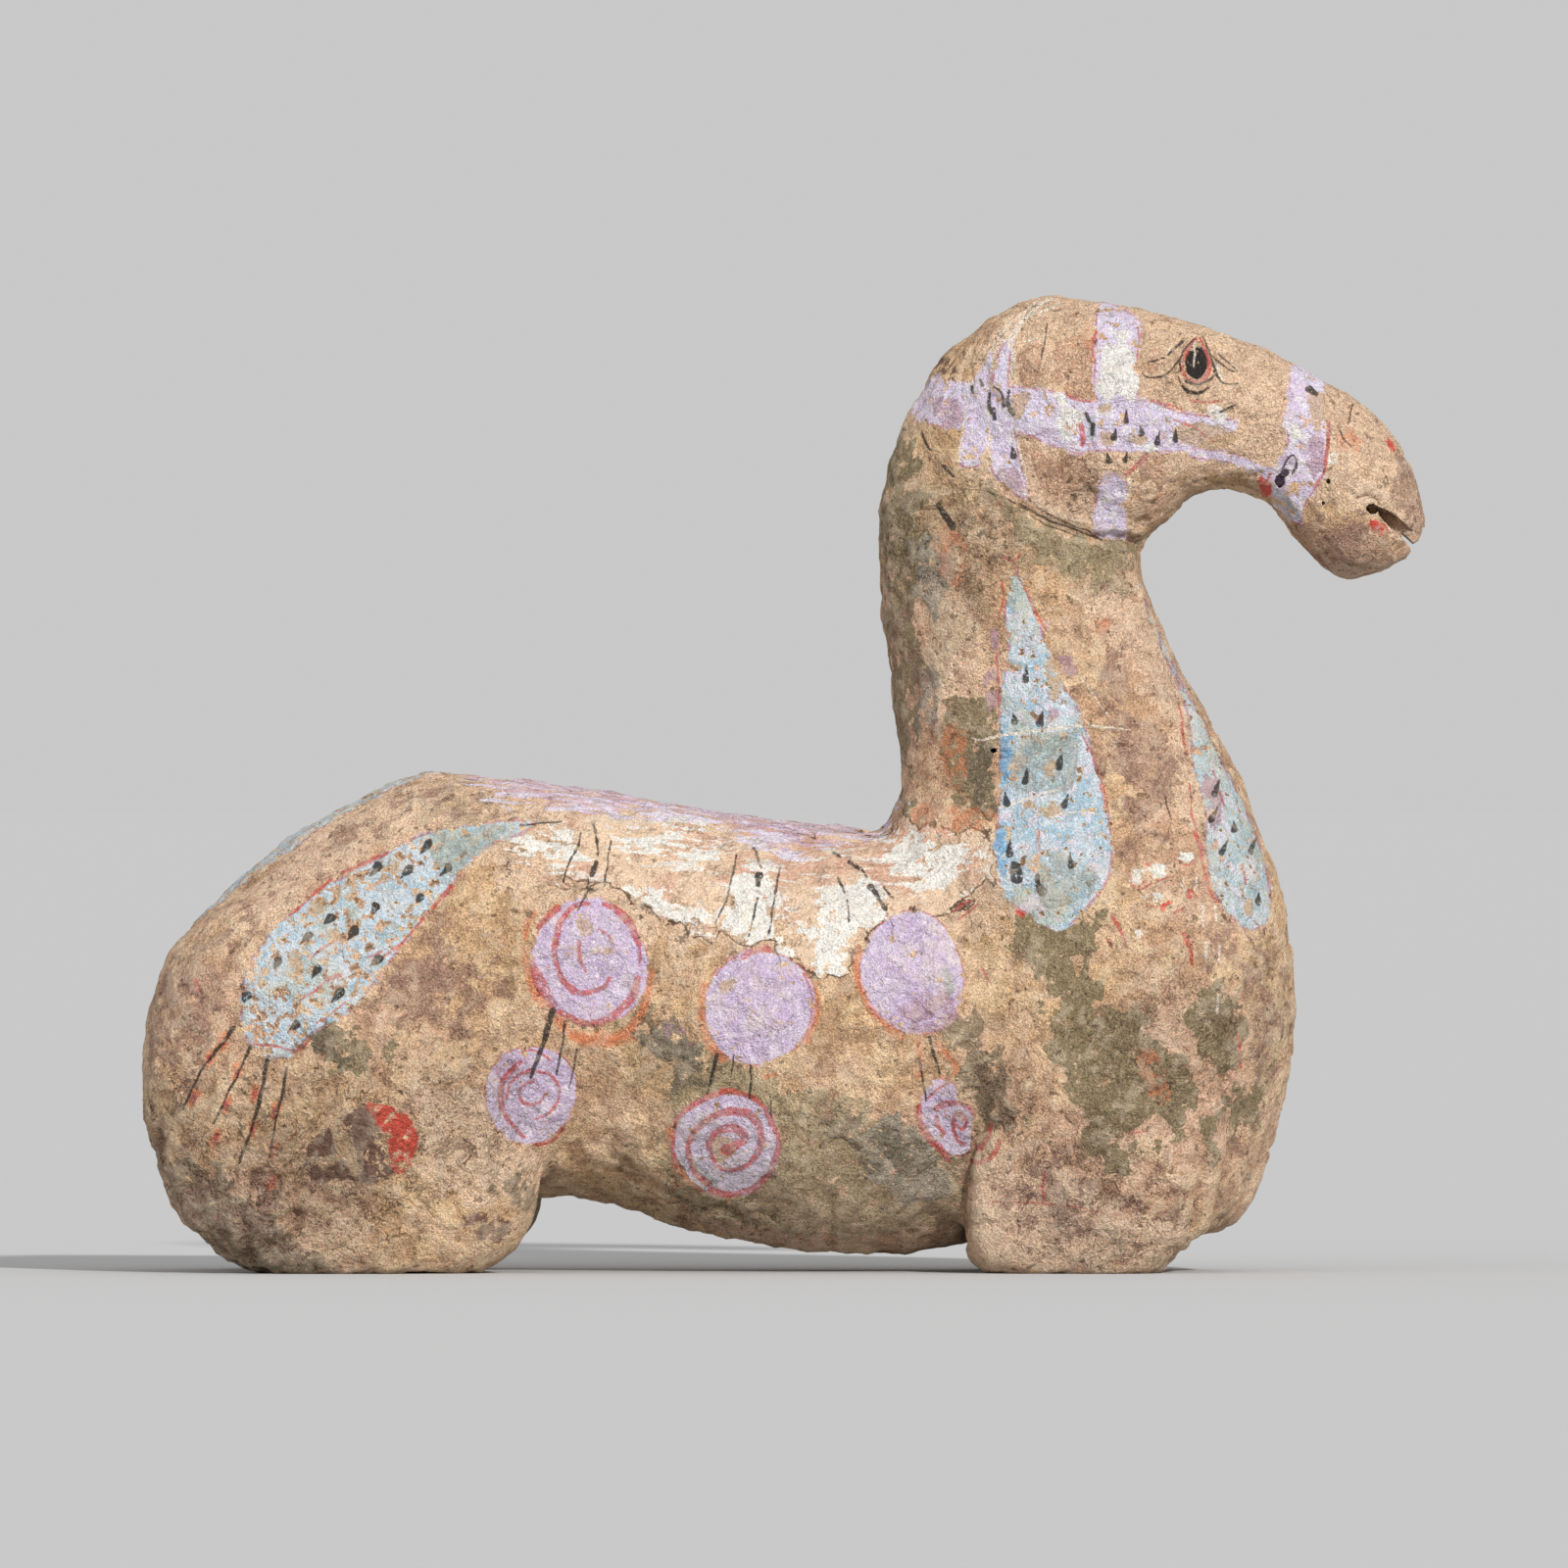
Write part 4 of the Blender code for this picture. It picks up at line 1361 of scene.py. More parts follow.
DISC_LINES = {
    "first": [
        ([(618, 921), (628, 926), (637, 933)], 1.6, 3.2),
        ([(637, 933), (646, 946), (653, 964)], 3.4, 2.2),
        ([(653, 964), (654, 974), (653, 984)], 1.3, 1.0),
        ([(652, 997), (649, 1010), (640, 1023), (630, 1033)], 2.6, 3.0),
        ([(630, 1033), (617, 1040), (603, 1043), (590, 1040), (572, 1031)], 3.0, 2.3),
        ([(545, 978), (548, 990), (553, 1003)], 2.2, 4.6),
        ([(553, 1003), (559, 1014), (566, 1024)], 5.0, 2.8),
        ([(570, 926), (561, 935), (552, 945)], 3.2, 1.8),
        ([(602, 921), (592, 922), (582, 928), (574, 940), (570, 952), (567, 964)], 1.6, 2.5),
        ([(567, 964), (567, 976), (570, 987), (577, 1002), (587, 1010)], 1.6, 2.7),
        ([(587, 1010), (598, 1012), (609, 1010), (618, 1005), (623, 997)], 2.3, 1.6),
        ([(592, 961), (592, 972), (594, 980), (599, 989)], 1.7, 1.2),
        ([(612, 948), (621, 953), (627, 962)], 1.2, 0.8),
    ],
    "second": [
        ([(758, 975), (770, 969), (784, 967)], 2.8, 3.6),
        ([(752, 975), (738, 984), (731, 994)], 1.0, 0.8),
        (arc(775, 1026, 54, 57, -35, 45), 1.0, 0.8),
    ],
}
print("upper discs with red lines:", len(DISC_LINES))

# %% Red lines on the lower discs
DISC_LINES |= {
    "below first": [
        ([(534, 1082), (523, 1090), (515, 1099), (513, 1112)], 1.5, 2.3),
        ([(513, 1112), (514, 1125), (518, 1136), (524, 1146), (536, 1158)], 2.6, 1.2),
        ([(544, 1090), (534, 1093), (525, 1100), (520, 1109), (519, 1119)], 1.7, 1.1),
        ([(546, 1101), (537, 1105), (531, 1113), (534, 1122), (543, 1126), (552, 1123), (558, 1114)],
         1.5, 1.0),
        ([(550, 1092), (562, 1095), (571, 1106), (572, 1118), (567, 1127), (559, 1136), (548, 1141)],
         1.3, 1.0),
        ([(532, 1073), (543, 1070), (554, 1073), (563, 1080)], 1.0, 0.8),
        ([(575, 1150), (568, 1159), (559, 1165), (548, 1166)], 1.2, 1.6),
    ],
    "below second": [
        ([(738, 1112), (717, 1120), (700, 1131), (691, 1142)], 2.2, 2.0),
        ([(691, 1142), (688, 1158), (687, 1173), (691, 1188)], 1.3, 1.9),
        ([(738, 1112), (753, 1113), (768, 1118), (779, 1128), (787, 1142)], 2.2, 1.8),
        ([(787, 1142), (793, 1156), (794, 1170), (790, 1184), (782, 1199)], 2.2, 1.6),
        ([(782, 1199), (770, 1210), (755, 1216), (742, 1217), (727, 1212)], 2.0, 2.6),
        ([(724, 1206), (713, 1197), (708, 1190), (704, 1177), (703, 1165), (707, 1155)], 2.3, 1.8),
        ([(707, 1155), (714, 1147), (725, 1138), (737, 1133), (750, 1132)], 1.9, 2.9),
        ([(750, 1132), (762, 1134), (772, 1143), (777, 1153), (777, 1164), (773, 1175)], 2.9, 2.5),
        ([(773, 1175), (765, 1185), (753, 1191), (742, 1192), (732, 1188), (727, 1178)], 2.3, 1.5),
        ([(727, 1178), (724, 1167), (727, 1157), (734, 1151), (743, 1149)], 1.7, 3.0),
        ([(743, 1149), (752, 1150), (759, 1155), (758, 1162), (750, 1166)], 3.0, 3.0),
        ([(752, 1166), (745, 1171), (741, 1170)], 3.2, 3.8),
    ],
    "below third": [
        ([(937, 1127), (937, 1138), (942, 1150), (950, 1162), (957, 1168)], 2.0, 2.4),
        ([(957, 1168), (963, 1176), (968, 1182)], 2.6, 1.8),
        ([(955, 1130), (965, 1125), (978, 1124), (988, 1129), (993, 1136)], 2.2, 1.4),
        ([(955, 1138), (957, 1147), (963, 1155)], 1.5, 1.3),
        ([(972, 1143), (974, 1136), (981, 1136), (985, 1144)], 1.8, 1.6),
        ([(985, 1144), (980, 1150), (975, 1144)], 1.5, 1.2),
        ([(972, 1143), (972, 1152), (976, 1160), (983, 1165)], 1.8, 1.2),
        ([(1010, 1146), (1008, 1157), (1003, 1165), (997, 1170)], 1.6, 2.0),
        ([(1018, 1163), (1015, 1173), (1007, 1181), (997, 1184), (990, 1182)], 1.9, 1.5),
        ([(945, 1119), (955, 1109), (968, 1102)], 0.9, 0.6),
    ],
}
BRUSH_SPREAD = {"first": 1.4, "second": 1.0, "below first": 1.3, "below second": 1.5, "below third": 1.5}
disc_reds = []
for disc, lines in DISC_LINES.items():
    spread = BRUSH_SPREAD[disc]
    disc_reds += [(places, spread * start, spread * end) for places, start, end in lines]
print("red strokes on the discs:", len(disc_reds))

# %% Other red strokes
RED_LINES = [
    ([(1202, 718), (1205, 735), (1206, 750), (1210, 770)], 1.0, 1.6),
    ([(1213, 800), (1215, 830), (1220, 846)], 0.8, 1.6),
    ([(1217, 848), (1223, 860), (1225, 880), (1232, 908), (1240, 920)], 2.2, 1.0),
    ([(1237, 786), (1242, 802), (1248, 822)], 0.9, 0.8),
    ([(1266, 882), (1269, 902)], 1.6, 1.0),
    ([(1036, 580), (1043, 598), (1055, 622), (1066, 643)], 1.4, 0.9),
    ([(1102, 748), (1113, 770), (1125, 806), (1130, 830)], 1.3, 0.7),
    ([(1020, 592), (1023, 608), (1018, 632)], 1.2, 0.8),
    ([(1016, 668), (1018, 700), (1019, 732)], 1.5, 1.0),
    ([(1152, 892), (1154, 902), (1163, 906), (1173, 900)], 0.9, 1.4),
    ([(1171, 893), (1179, 898), (1190, 894)], 0.9, 0.8),
    (arc(1158, 894, 9, 10, 20, 200), 0.8, 1.0),
    (arc(1208, 875, 11, 7, 0, 190), 0.9, 0.8),
    ([(1167, 923), (1176, 925), (1186, 921)], 0.8, 1.0),
    ([(396, 871), (370, 882), (352, 891)], 2.2, 2.0),
    ([(340, 897), (324, 911), (310, 924), (298, 934)], 2.0, 1.2),
    ([(462, 906), (450, 918), (444, 926)], 2.8, 1.8),
    ([(434, 936), (420, 954), (404, 968), (392, 976)], 1.8, 1.2),
    ([(392, 970), (378, 976)], 1.8, 1.0),
    ([(350, 993), (338, 998), (326, 1008), (310, 1019)], 2.4, 1.0),
    ([(343, 961), (330, 968), (322, 976)], 1.4, 0.8),
    ([(320, 1060), (306, 1070), (286, 1066), (262, 1063)], 1.4, 1.0),
    ([(356, 1020), (340, 1034), (326, 1042)], 1.3, 0.8),
    ([(1219, 346), (1211, 358), (1206, 370), (1205, 380), (1210, 388), (1217, 392)], 1.6, 3.0),
    ([(1223, 346), (1229, 358), (1233, 371), (1231, 382), (1224, 391), (1216, 392)], 1.8, 3.0),
    ([(1211, 390), (1219, 391), (1226, 390)], 1.0, 1.0),
    ([(1214, 411), (1230, 412), (1246, 410)], 1.6, 0.9),
    ([(1354, 432), (1353, 455), (1349, 480), (1340, 497)], 1.6, 1.9),
    ([(1296, 484), (1290, 495), (1289, 506)], 1.5, 1.3),
    ([(1117, 340), (1114, 352), (1116, 372)], 2.2, 1.0),
    ([(1102, 434), (1104, 446), (1103, 455)], 2.8, 2.4),
    ([(1169, 465), (1162, 474), (1152, 483), (1148, 486)], 2.6, 1.6),
    ([(1088, 404), (1100, 410), (1112, 412)], 1.8, 1.2),
    ([(1160, 335), (1161, 352), (1158, 376)], 0.9, 0.7),
    ([(1172, 410), (1190, 414), (1204, 420)], 1.4, 0.9),
    ([(1403, 541), (1410, 536), (1416, 543)], 2.4, 1.6),
    ([(203, 999), (206, 1009)], 2.4, 1.6),
    ([(1260, 1052), (1264, 1088)], 1.8, 1.2),
    ([(1134, 936), (1141, 948), (1148, 966)], 2.6, 1.4),
    ([(1128, 958), (1132, 966)], 1.4, 1.0),
    ([(1206, 952), (1212, 968), (1214, 984)], 3.0, 1.6),
    ([(1196, 930), (1204, 926)], 1.4, 1.0),
    ([(973, 928), (981, 922), (990, 918)], 1.4, 0.9),
    ([(978, 938), (988, 930), (996, 922)], 1.2, 0.8),
    ([(1002, 988), (1008, 1000)], 1.6, 1.0),
    ([(1012, 1224), (1070, 1226), (1140, 1238)], 0.7, 0.5),
    ([(1064, 1195), (1062, 1225)], 2.0, 1.2),
    ([(1022, 568), (1032, 574), (1040, 566)], 1.6, 1.0),
    ([(1150, 1155), (1168, 1152)], 1.2, 0.7),
    ([(1196, 430), (1215, 436), (1238, 452)], 0.9, 0.7),
]
RED_LINES += disc_reds
print("red strokes:", len(RED_LINES))

# %% Orange halos and the tassels' dots
ORANGE_LINES = [
    ([(547, 931), (540, 940), (538, 955)], 4.2, 3.0),
    ([(537, 968), (540, 988), (546, 1008), (556, 1024)], 3.6, 4.4),
    ([(572, 1040), (585, 1052), (600, 1061), (617, 1062)], 4.8, 5.6),
    ([(617, 1062), (634, 1056), (648, 1044), (657, 1030)], 5.4, 4.6),
    ([(657, 1030), (663, 1012), (666, 990)], 4.6, 3.2),
    ([(719, 1004), (716, 1020), (716, 1038), (720, 1056)], 3.2, 4.4),
    ([(720, 1056), (728, 1068), (738, 1078)], 4.6, 4.0),
    ([(831, 1002), (834, 1020), (832, 1040), (824, 1060)], 2.6, 3.2),
    ([(876, 966), (873, 985), (876, 1003)], 2.6, 3.4),
    ([(876, 1003), (884, 1022), (898, 1040), (918, 1056)], 3.6, 3.8),
    ([(684, 1150), (686, 1165)], 3.0, 2.6),
    ([(692, 1190), (704, 1204), (716, 1214)], 2.6, 2.0),
    ([(936, 1062), (938, 1080), (937, 1096)], 3.6, 2.2),
    ([(957, 1064), (967, 1076), (975, 1088)], 3.2, 2.4),
    ([(975, 1088), (968, 1098), (958, 1098)], 2.0, 1.6),
    ([(1059, 848), (1059, 868), (1054, 888)], 1.6, 1.2),
    ([(780, 1098), (790, 1094)], 2.6, 2.0),
]
TASSEL_DOTS = [(231, 1061), (217, 1080), (201, 1119), (245, 1092), (235, 1125), (224, 1159), (264, 1115),
               (261, 1151), (285, 1132), (281, 1170), (281, 1202)]
ORANGE_LINES += [([(x + 1.5, z - 5), (x - 1.5, z + 5)], 5.6, 4.6) for x, z in TASSEL_DOTS]
RED_LINES += [([(x, z - 2), (x, z + 2)], 3.2, 2.6) for x, z in TASSEL_DOTS]
print("orange strokes:", len(ORANGE_LINES))

# %% White strokes
WHITE_LINES = [
    ([(1073, 305), (1056, 316), (1043, 328), (1034, 341)], 1.4, 3.2),
    ([(1034, 341), (1030, 352), (1034, 360)], 3.6, 1.6),
    ([(1034, 360), (1032, 376), (1030, 393)], 2.2, 1.7),
    ([(1028, 412), (1032, 428), (1037, 444)], 1.7, 1.1),
    ([(1038, 450), (1042, 472), (1050, 506)], 0.9, 0.7),
    ([(1060, 307), (1043, 320), (1027, 335), (1015, 350), (1008, 363), (994, 388), (987, 410), (982, 440),
      (978, 472)], 0.8, 1.1),
    ([(1040, 330), (1023, 346), (1013, 366), (1009, 390), (1007, 415), (1008, 445), (1011, 474)], 0.8, 1.0),
    ([(1046, 350), (1056, 347), (1064, 347)], 1.2, 0.8),
    ([(1080, 310), (1066, 318), (1052, 322)], 1.4, 0.9),
    ([(992, 754), (1002, 755), (1020, 751)], 0.9, 1.3),
    ([(1020, 751), (1040, 748), (1060, 745), (1086, 743), (1104, 741)], 1.7, 1.2),
    ([(1108, 741), (1130, 743), (1152, 744)], 1.0, 0.6),
    ([(1020, 824), (1040, 818), (1058, 811), (1082, 804)], 0.9, 1.0),
    ([(1070, 834), (1102, 828), (1128, 834)], 1.0, 0.6),
    ([(1100, 690), (1112, 706), (1128, 728)], 0.5, 0.7),
    ([(1206, 896), (1204, 902), (1208, 908)], 1.0, 0.8),
    ([(1220, 894), (1218, 902), (1216, 908)], 1.6, 1.0),
    ([(1225, 925), (1226, 945)], 1.6, 1.0),
    ([(1229, 962), (1228, 978)], 2.2, 1.8),
    ([(1238, 925), (1240, 938)], 1.6, 1.0),
    ([(1242, 966), (1241, 980)], 1.4, 1.0),
    ([(1240, 1015), (1239, 1032)], 1.2, 0.8),
    ([(760, 877), (778, 879), (798, 883)], 1.6, 2.4),
    ([(840, 868), (860, 868), (880, 865)], 1.4, 0.9),
    ([(735, 843), (765, 856), (795, 869)], 1.0, 0.8),
    ([(600, 835), (650, 838), (700, 840)], 1.2, 0.8),
    ([(262, 1020), (272, 1040), (280, 1056)], 1.0, 0.8),
    ([(1150, 490), (1152, 500), (1146, 512)], 1.3, 0.9),
    ([(1218, 350), (1218, 362), (1217, 375)], 1.4, 0.8),
    ([(1241, 374), (1243, 384), (1248, 393)], 2.0, 1.2),
    ([(1191, 359), (1198, 356), (1204, 351)], 1.8, 1.2),
]

print("white strokes:", len(WHITE_LINES))

# %% [markdown]
# Each face remembers its nearest strokes
#
# Ink and red lines cross each other's ends often, so a face keeps three pieces of each. Two are
# enough for orange and white. A face with no stroke in reach keeps a piece that lies far away.

# %% Strokes as straight pieces
STROKE_REACH = 6 * MILLIMETRE


def straight_pieces(strokes):
    """Start and end of each straight piece, as (x, z, half width) in metres."""
    starts = []
    ends = []
    for places, start_width, end_width in strokes:
        path = flowing(places, closed=False, pieces=3)
        widths = np.linspace(start_width, end_width, len(path)) * metres_per_pixel
        pieces = np.column_stack([path, widths])
        starts += list(pieces[:-1])
        ends += list(pieces[1:])
    return np.array(starts), np.array(ends)


def nearest_pieces(places, starts, ends, kept):
    """For each place, the numbers of its nearest pieces, nearest first. None is -1."""
    distances = np.full((kept, len(places)), STROKE_REACH)
    numbers = np.full((kept, len(places)), -1)
    for number, (start, end) in enumerate(zip(starts, ends)):
        low = np.minimum(start, end)[:2] - STROKE_REACH
        high = np.maximum(start, end)[:2] + STROKE_REACH
        near = np.flatnonzero(np.all((places > low) & (places < high), axis=1))
        away = distance_to(np.array([start[:2], end[:2]]), places[near])[0]
        carried = np.full(len(near), number)
        for rank in range(kept):
            closer = away < distances[rank, near]
            taken = near[closer]
            swap = distances[rank, taken].copy(), numbers[rank, taken].copy()
            distances[rank, taken] = away[closer]
            numbers[rank, taken] = carried[closer]
            away[closer], carried[closer] = swap
    return numbers


print("a face looks for strokes within", STROKE_REACH / MILLIMETRE, "mm")

# %% Each face's nearest strokes
FAR_AWAY = 9.0
STROKES = {
    "ink": (INK, 3),
    "red_line": (RED_LINES, 3),
    "orange_line": (ORANGE_LINES, 2),
    "white_line": (WHITE_LINES, 2),
}


def store_on_faces(mesh, name, values):
    attribute = mesh.attributes.new(name, "FLOAT_VECTOR", "FACE")
    attribute.data.foreach_set("vector", values.astype(np.float32).ravel())


face_points = arrows_of(skin.polygons, "center")
face_places = on_map(face_points)
face_places[outer_only(face_points) < 0] = -FAR_AWAY
for name, (strokes, kept) in STROKES.items():
    starts, ends = straight_pieces(strokes)
    nearest = nearest_pieces(face_places, starts, ends, kept)
    starts = np.vstack([starts, [FAR_AWAY, FAR_AWAY, 0]])
    ends = np.vstack([ends, [FAR_AWAY, FAR_AWAY + 1, 0]])
    for rank in range(kept):
        store_on_faces(skin, f"{name}_start_{rank}", starts[nearest[rank]])
        store_on_faces(skin, f"{name}_end_{rank}", ends[nearest[rank]])
    print(name, "pieces:", len(starts) - 1, "on faces:", int(np.sum(nearest[0] >= 0)))

# %% [markdown]
# Hollows and ridges
#
# Hollows are darkened, as dirt and as painted shade, and ridges are lightened, as rubbed clay and
# as a painted highlight. Shader nodes can't see which is which, so the skin keeps one more number:
# how far each point lies under the mean of the points around it. It is taken over a narrow and a
# wider neighbourhood, for cracks and for folds.

# %% How hollow the skin is
NARROW_ROUNDS = 3
NARROW_DEPTH = 0.4 * MILLIMETRE
WIDE_ROUNDS = 24
WIDE_DEPTH = 0.9 * MILLIMETRE


def hollowness(mesh, rounds, full_depth):
    """Depth under the neighbours' mean, as a share of the full depth. Ridges are negative."""
    points = points_of(mesh)
    under = (averaged(mesh, points, rounds) - points) * normals_of(mesh)
    return np.sum(under, axis=1) / full_depth


narrow = hollowness(skin, NARROW_ROUNDS, NARROW_DEPTH)
wide = hollowness(skin, WIDE_ROUNDS, WIDE_DEPTH)
store(skin, "hollow", np.clip(0.5 * narrow + 0.5 * wide, -1, 1))
store(skin, "roughened", roughness_of(map_places))
print("hollow points:", int(np.sum(narrow > 1)), "of", len(narrow))

# %% [markdown]
# Pigments
#
# The clay is a warm buff. The paints are earth and plant colours that have gone chalky: lilac, pale
# blue, vermilion and brown red, a cream ground and lampblack. Each is written as a paint card
# gives it, from 0 to 255, and turned into the linear values that Blender mixes. The two rules for
# that, a straight piece for the darkest tones and a power for the rest, are those of sRGB.

# %% Named colours


def pigment(red, green, blue):
    parts = [part / 255 for part in (red, green, blue)]
    return (*[part / 12.92 if part < 0.04 else ((part + 0.055) / 1.055) ** 2.4 for part in parts], 1)


BUFF_CLAY = pigment(230, 190, 146)
PINK_CLAY = pigment(226, 184, 154)
TAN_CLAY = pigment(198, 156, 114)
PALE_CLAY = pigment(236, 202, 172)
CLAY_FILM = pigment(234, 204, 164)
UNDER_FILM = pigment(176, 138, 108)
# Dark brown for dirt and painted shadow at edges and in cracks:
EDGE_SHADOW_AND_DIRT = pigment(84, 56, 44)
PURPLE_BROWN = pigment(164, 126, 112)
OLIVE_STAIN = pigment(172, 154, 122)
MOSS_STAIN = pigment(136, 122, 92)
PLUM_STAIN = pigment(176, 140, 120)
DUSK_STAIN = pigment(112, 102, 84)
RUST_STAIN = pigment(176, 118, 92)
ASH_STAIN = pigment(158, 150, 138)
DARK_SPECK = pigment(84, 64, 48)
PALE_SPECK_AND_HIGHLIGHT = pigment(242, 222, 194)
# Dirt, and painted shade in hollows and underneath:
SHADE_AND_DIRT = pigment(104, 84, 62)
BARE_CLAY = pigment(208, 174, 136)
PEACH_SLIP = pigment(234, 186, 160)
YELLOW_SLIP = pigment(248, 216, 184)
CREAM_PAINT = pigment(255, 250, 240)
CREAM_LINE = pigment(244, 230, 212)
CHALK_WHITE = pigment(248, 244, 234)
PALE_BLUE = pigment(168, 202, 220)
CHALK_BLUE = pigment(220, 232, 240)
STRONG_BLUE = pigment(122, 178, 218)
GREY_BLUE = pigment(164, 176, 170)
PALE_GREEN = pigment(190, 200, 178)
MAUVE_PAINT = pigment(184, 146, 158)
DISC_LILAC = pigment(226, 209, 236)
DEEP_LILAC = pigment(208, 187, 222)
CHALK_LILAC = pigment(242, 230, 244)
BRIDLE_LILAC = pigment(236, 228, 250)
CLOTH_PINK = pigment(220, 180, 196)
CLOTH_LILAC = pigment(230, 216, 236)
VERMILION = pigment(206, 80, 70)
OLD_ROSE = pigment(206, 122, 122)
PURPLE_RED = pigment(170, 118, 134)
BRIGHT_RED = pigment(220, 74, 62)
MAROON_PAINT = pigment(112, 78, 72)
ORANGE_PAINT = pigment(224, 128, 84)
LAMPBLACK = pigment(48, 44, 42)
print("the clay as Blender mixes it:", [round(part, 3) for part in BUFF_CLAY])

# %% [markdown]
# Short calls for mixing
#
# The material is built up as a painter works, one layer over the other. Each layer is a share
# between nought and one that says where it lies, and a colour. A share mostly comes from a noise:
# it is one where the noise lies above a level. How far the edge fades is in the noise's own
# units, and three words cover most edges: crisp, sharp and soft.

# %% Short calls for mixing
CRISP = 0.004
SHARP = 0.01
SOFT = 0.02

painted_pottery.use_nodes = True
paint = Wiring(painted_pottery.node_tree)
surface = painted_pottery.node_tree.nodes["Principled BSDF"]
here = paint.add("ShaderNodeTexCoord").outputs["Object"]


def stored(name, output="Fac"):
    """A value that the skin keeps, as a node reads it."""
    return paint.add("ShaderNodeAttribute", attribute_name=name).outputs[output]


def plus(one, other):
    return paint.calc("ADD", one, other)


def less(value):
    return paint.calc("SUBTRACT", 1.0, value)


def times(*values):
    result = values[0]
    for value in values[1:]:
        result = paint.calc("MULTIPLY", result, value)
    return result


def centred(value, size):
    """A noise as a swing about nought, of the given size."""
    return paint.calc("MULTIPLY", paint.calc("SUBTRACT", value, 0.5), size)


def above(value, level, blur):
    """One where the value lies above the level, and nought below it."""
    return paint.rise(value, level - blur, level + blur)


def below(value, level, blur):
    return less(above(value, level, blur))


def band(value, middle, half_width, soft):
    """One within half_width of the middle, fading over the soft distance."""
    off = paint.calc("ABSOLUTE", paint.calc("SUBTRACT", value, middle))
    return less(paint.rise(off, half_width, half_width + soft))


def mixed(share, under, over):
    node = paint.add("ShaderNodeMix", data_type="RGBA")
    for number, value in ((0, share), (6, under), (7, over)):
        paint.put(node.inputs[number], value)
    return node.outputs[2]


# %% [markdown]
# The noises that every layer shares
#
# Old clay shows variation at every size, from hand-wide clouds to sand grains. A few noises on
# Object coordinates give all of it, and every paint uses the same ones, so where the clay has
# flaked, the paint on it has gone too. Each noise's size is the real size of what it makes.

# %% Shared noises
clouds = paint.noise(here, 110 * MILLIMETRE, 2.0)
drifts = paint.noise(here, 30 * MILLIMETRE, 4.0, 0.6)
flake = paint.flakes(stored(WHERE_ON_CLAY, "Vector"))
patches = paint.noise(here, 11 * MILLIMETRE, 6.0, 0.68, 0.3)
wear = paint.noise(here, 7 * MILLIMETRE, 5.0, 0.72)
ragged = paint.noise(here, 4.5 * MILLIMETRE, 3.0, 0.6)
plates = paint.noise(here, 13 * MILLIMETRE, 3.0, 0.5, 0.6)
crumbs = paint.noise(here, 5.5 * MILLIMETRE, 2.0, 0.5, 0.8)
grain = paint.noise(here, 1.9 * MILLIMETRE, 4.0, 0.75)
fine = paint.noise(here, 0.8 * MILLIMETRE, 2.0)
STREAK_STRETCH = (0.16, 1.0, 1.0)
streaks = paint.noise(paint.arrow("MULTIPLY", here, STREAK_STRETCH), 3.4 * MILLIMETRE, 3.0)
print("nodes for the noises:", len(paint.tree.nodes))

# %% [markdown]
# The bare clay
#
# The clay comes first, as everything else lies on it: broad clouds of buff, pink and tan, and a
# pale outer film that has come away in flakes. Under the film the clay parts in plates, and their
# levels make low terraces: the lowest lie dark and the highest keep a little film.

# %% Clay colour
TERRACE_LEVELS = (0.42, 0.46, 0.50, 0.54, 0.58)
TERRACE_BLUR = 0.008
UNDER_EDGE = FLAKE_LEVEL - 0.03

colour = mixed(above(clouds, 0.5, 0.1), BUFF_CLAY, PINK_CLAY)
colour = mixed(times(above(drifts, 0.54, SHARP), 0.3), colour, TAN_CLAY)
colour = mixed(times(below(drifts, 0.45, SHARP), 0.5), colour, PALE_CLAY)
film = above(flake, FLAKE_LEVEL, CRISP)
colour = mixed(times(film, above(wear, 0.43, SOFT), 0.7), colour, CLAY_FILM)
bared_edge = times(less(film), above(flake, UNDER_EDGE, SOFT))
colour = mixed(times(bared_edge, above(patches, 0.49, SHARP), 0.45), colour, UNDER_FILM)
terraces = 0.0
for level in TERRACE_LEVELS:
    terraces = plus(terraces, above(plates, level, TERRACE_BLUR))
colour = mixed(times(below(plates, TERRACE_LEVELS[1], CRISP), 0.25), colour, UNDER_FILM)
colour = mixed(times(above(plates, TERRACE_LEVELS[-2], CRISP), 0.45), colour, CLAY_FILM)
print("nodes for the bare clay:", len(paint.tree.nodes))

# %% [markdown]
# Stains in the clay
#
# A stain follows its kept depth, but its edge wanders with the plates of the clay, as water stops
# at a crack. It leaves out spots where the wear or the grain is low. The purple brown is a thin
# wash: it shows everywhere in small flecks, and closes up inside its own areas.

# %% Stains
STAIN_SWING = 40 * MILLIMETRE
STAIN_BLUR = 0.7 * MILLIMETRE
SPOT_FADE = 0.1
STAINS = (
    ("pale", PALE_CLAY, 0.72, wear, 0.36),
    ("olive", OLIVE_STAIN, 0.8, wear, 0.36),
    ("damp_and_shade", MOSS_STAIN, 0.36, wear, 0.36),
    ("moss", MOSS_STAIN, 0.88, wear, 0.33),
    ("plum", PLUM_STAIN, 0.7, grain, 0.34),
    ("ash", ASH_STAIN, 0.7, wear, 0.36),
    ("dusk", DUSK_STAIN, 0.7, wear, 0.36),
    ("rust", RUST_STAIN, 0.6, grain, 0.42),
)
WASH_REACH = 4 * MILLIMETRE
WASH_GAIN = 6.0
WASH_LEVEL = 0.584

